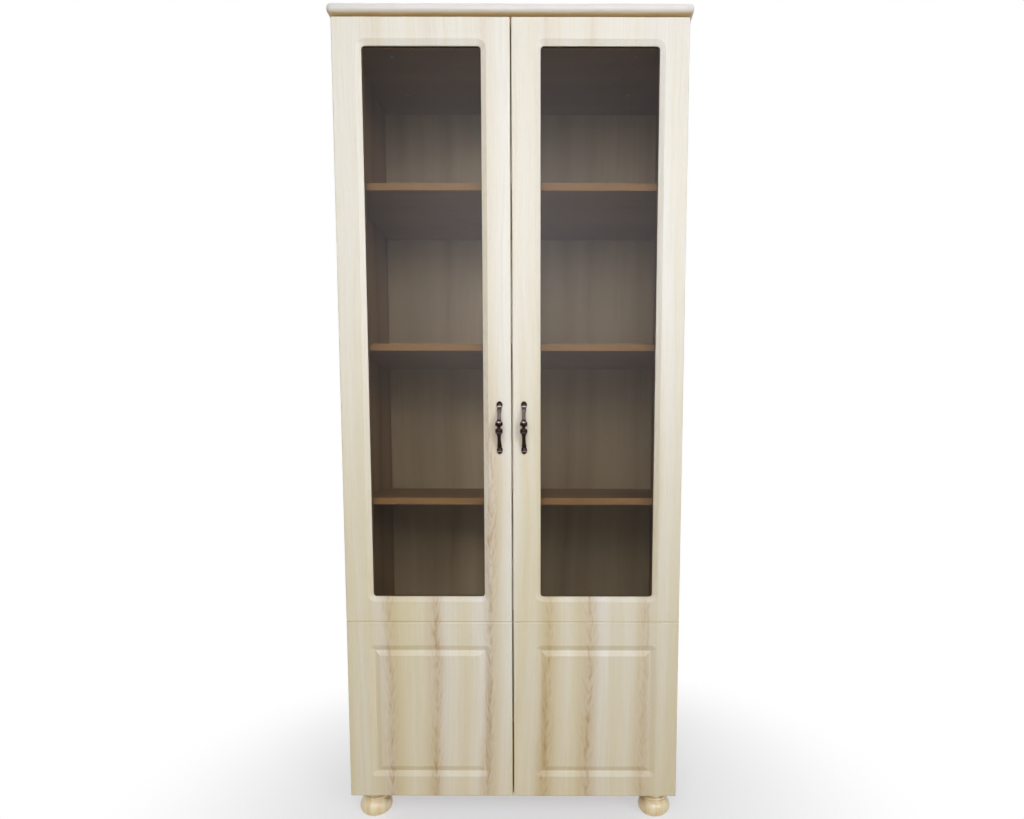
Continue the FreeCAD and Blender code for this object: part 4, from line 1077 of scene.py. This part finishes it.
def white_sky(level):
    """An even sky that lights at the given level and is seen as white."""
    world = bpy.data.worlds.new("studio_sky")
    world.use_nodes = True
    world.node_tree.nodes.clear()
    wires = Wires(world.node_tree)
    seen = seen_rays(wires)
    sky = wires.put("ShaderNodeBackground", {"Color": wires.blend(seen, SKY_COLOUR, WHITE),
                                             "Strength": wires.spread(seen, 0.0, 1.0, level, 1.0)})
    wires.put("ShaderNodeOutputWorld", {"Surface": sky.outputs[0]})
    bpy.context.scene.world = world


def photo_camera(studio):
    """A camera at the photograph's place, with the photograph's framing."""
    lens = bpy.data.cameras.new("photo_camera")
    lens.sensor_fit = "HORIZONTAL"
    lens.sensor_width = SENSOR_WIDTH
    lens.lens = studio.lens
    lens.shift_x = studio.shift_across
    lens.shift_y = studio.shift_up
    camera = bpy.data.objects.new("photo_camera", lens)
    bpy.context.scene.collection.objects.link(camera)
    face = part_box("left_door_panel")[0].y
    eye = Vector((studio.eye_across, face - studio.eye_distance, studio.eye_height))
    level = Matrix.Rotation(math.radians(90) - studio.eye_tilt, 4, "X")
    camera.matrix_world = Matrix.Translation(eye) @ level @ Matrix.Rotation(studio.eye_roll, 4, "Z")
    bpy.context.scene.camera = camera


class CABINET_OT_stage(Operator):
    """Pale floor, white sky, softboxes and the camera"""

    bl_idname = "cabinet.stage"
    bl_label = "Stage"

    def execute(self, context):
        studio = context.scene.cabinet_studio
        pale_floor()
        white_sky(studio.sky_level)
        key = softbox("key_softbox", KEY_PLACE, KEY_AIM, KEY_SIZE, studio.key_power)
        key.spread = KEY_SPREAD
        feather(softbox("fill_softbox", FILL_PLACE, FILL_AIM, FILL_SIZE, studio.fill_power))
        softbox("ceiling_softbox", CEILING_PLACE, CEILING_AIM, CEILING_SIZE, studio.ceiling_power)
        photo_camera(studio)
        context.scene.view_settings.view_transform = "Standard"
        return {"FINISHED"}


class CABINET_PT_panel(Panel):
    """Shows a button for each step that finishes the cabinet"""

    bl_label = "Display cabinet"
    bl_idname = "CABINET_PT_panel"
    bl_space_type = "VIEW_3D"
    bl_region_type = "UI"
    bl_category = "Cabinet"

    def draw(self, context):
        column = self.layout.column(align=True)
        for operator in STEPS:
            column.operator(operator.bl_idname)


STEPS = (CABINET_OT_doors, CABINET_OT_carcass, CABINET_OT_glass, CABINET_OT_feet, CABINET_OT_handles,
         CABINET_OT_hinges, CABINET_OT_screws, CABINET_OT_caps, CABINET_OT_stage)
CLASSES = (CabinetFinishes, CabinetHandles, CabinetStudio, *STEPS, CABINET_PT_panel)


def register():
    for kind in CLASSES:
        bpy.utils.register_class(kind)
    bpy.types.Scene.cabinet_finishes = PointerProperty(type=CabinetFinishes)
    bpy.types.Scene.cabinet_handles = PointerProperty(type=CabinetHandles)
    bpy.types.Scene.cabinet_studio = PointerProperty(type=CabinetStudio)


def unregister():
    del bpy.types.Scene.cabinet_studio
    del bpy.types.Scene.cabinet_handles
    del bpy.types.Scene.cabinet_finishes
    for kind in reversed(CLASSES):
        bpy.utils.unregister_class(kind)


def main():
    register()
    bpy.ops.cabinet.doors()
    bpy.ops.cabinet.carcass()
    bpy.ops.cabinet.glass()
    bpy.ops.cabinet.feet()
    bpy.ops.cabinet.handles()
    bpy.ops.cabinet.hinges()
    bpy.ops.cabinet.screws()
    bpy.ops.cabinet.caps()
    bpy.ops.cabinet.stage()


if __name__ == "__main__":
    main()
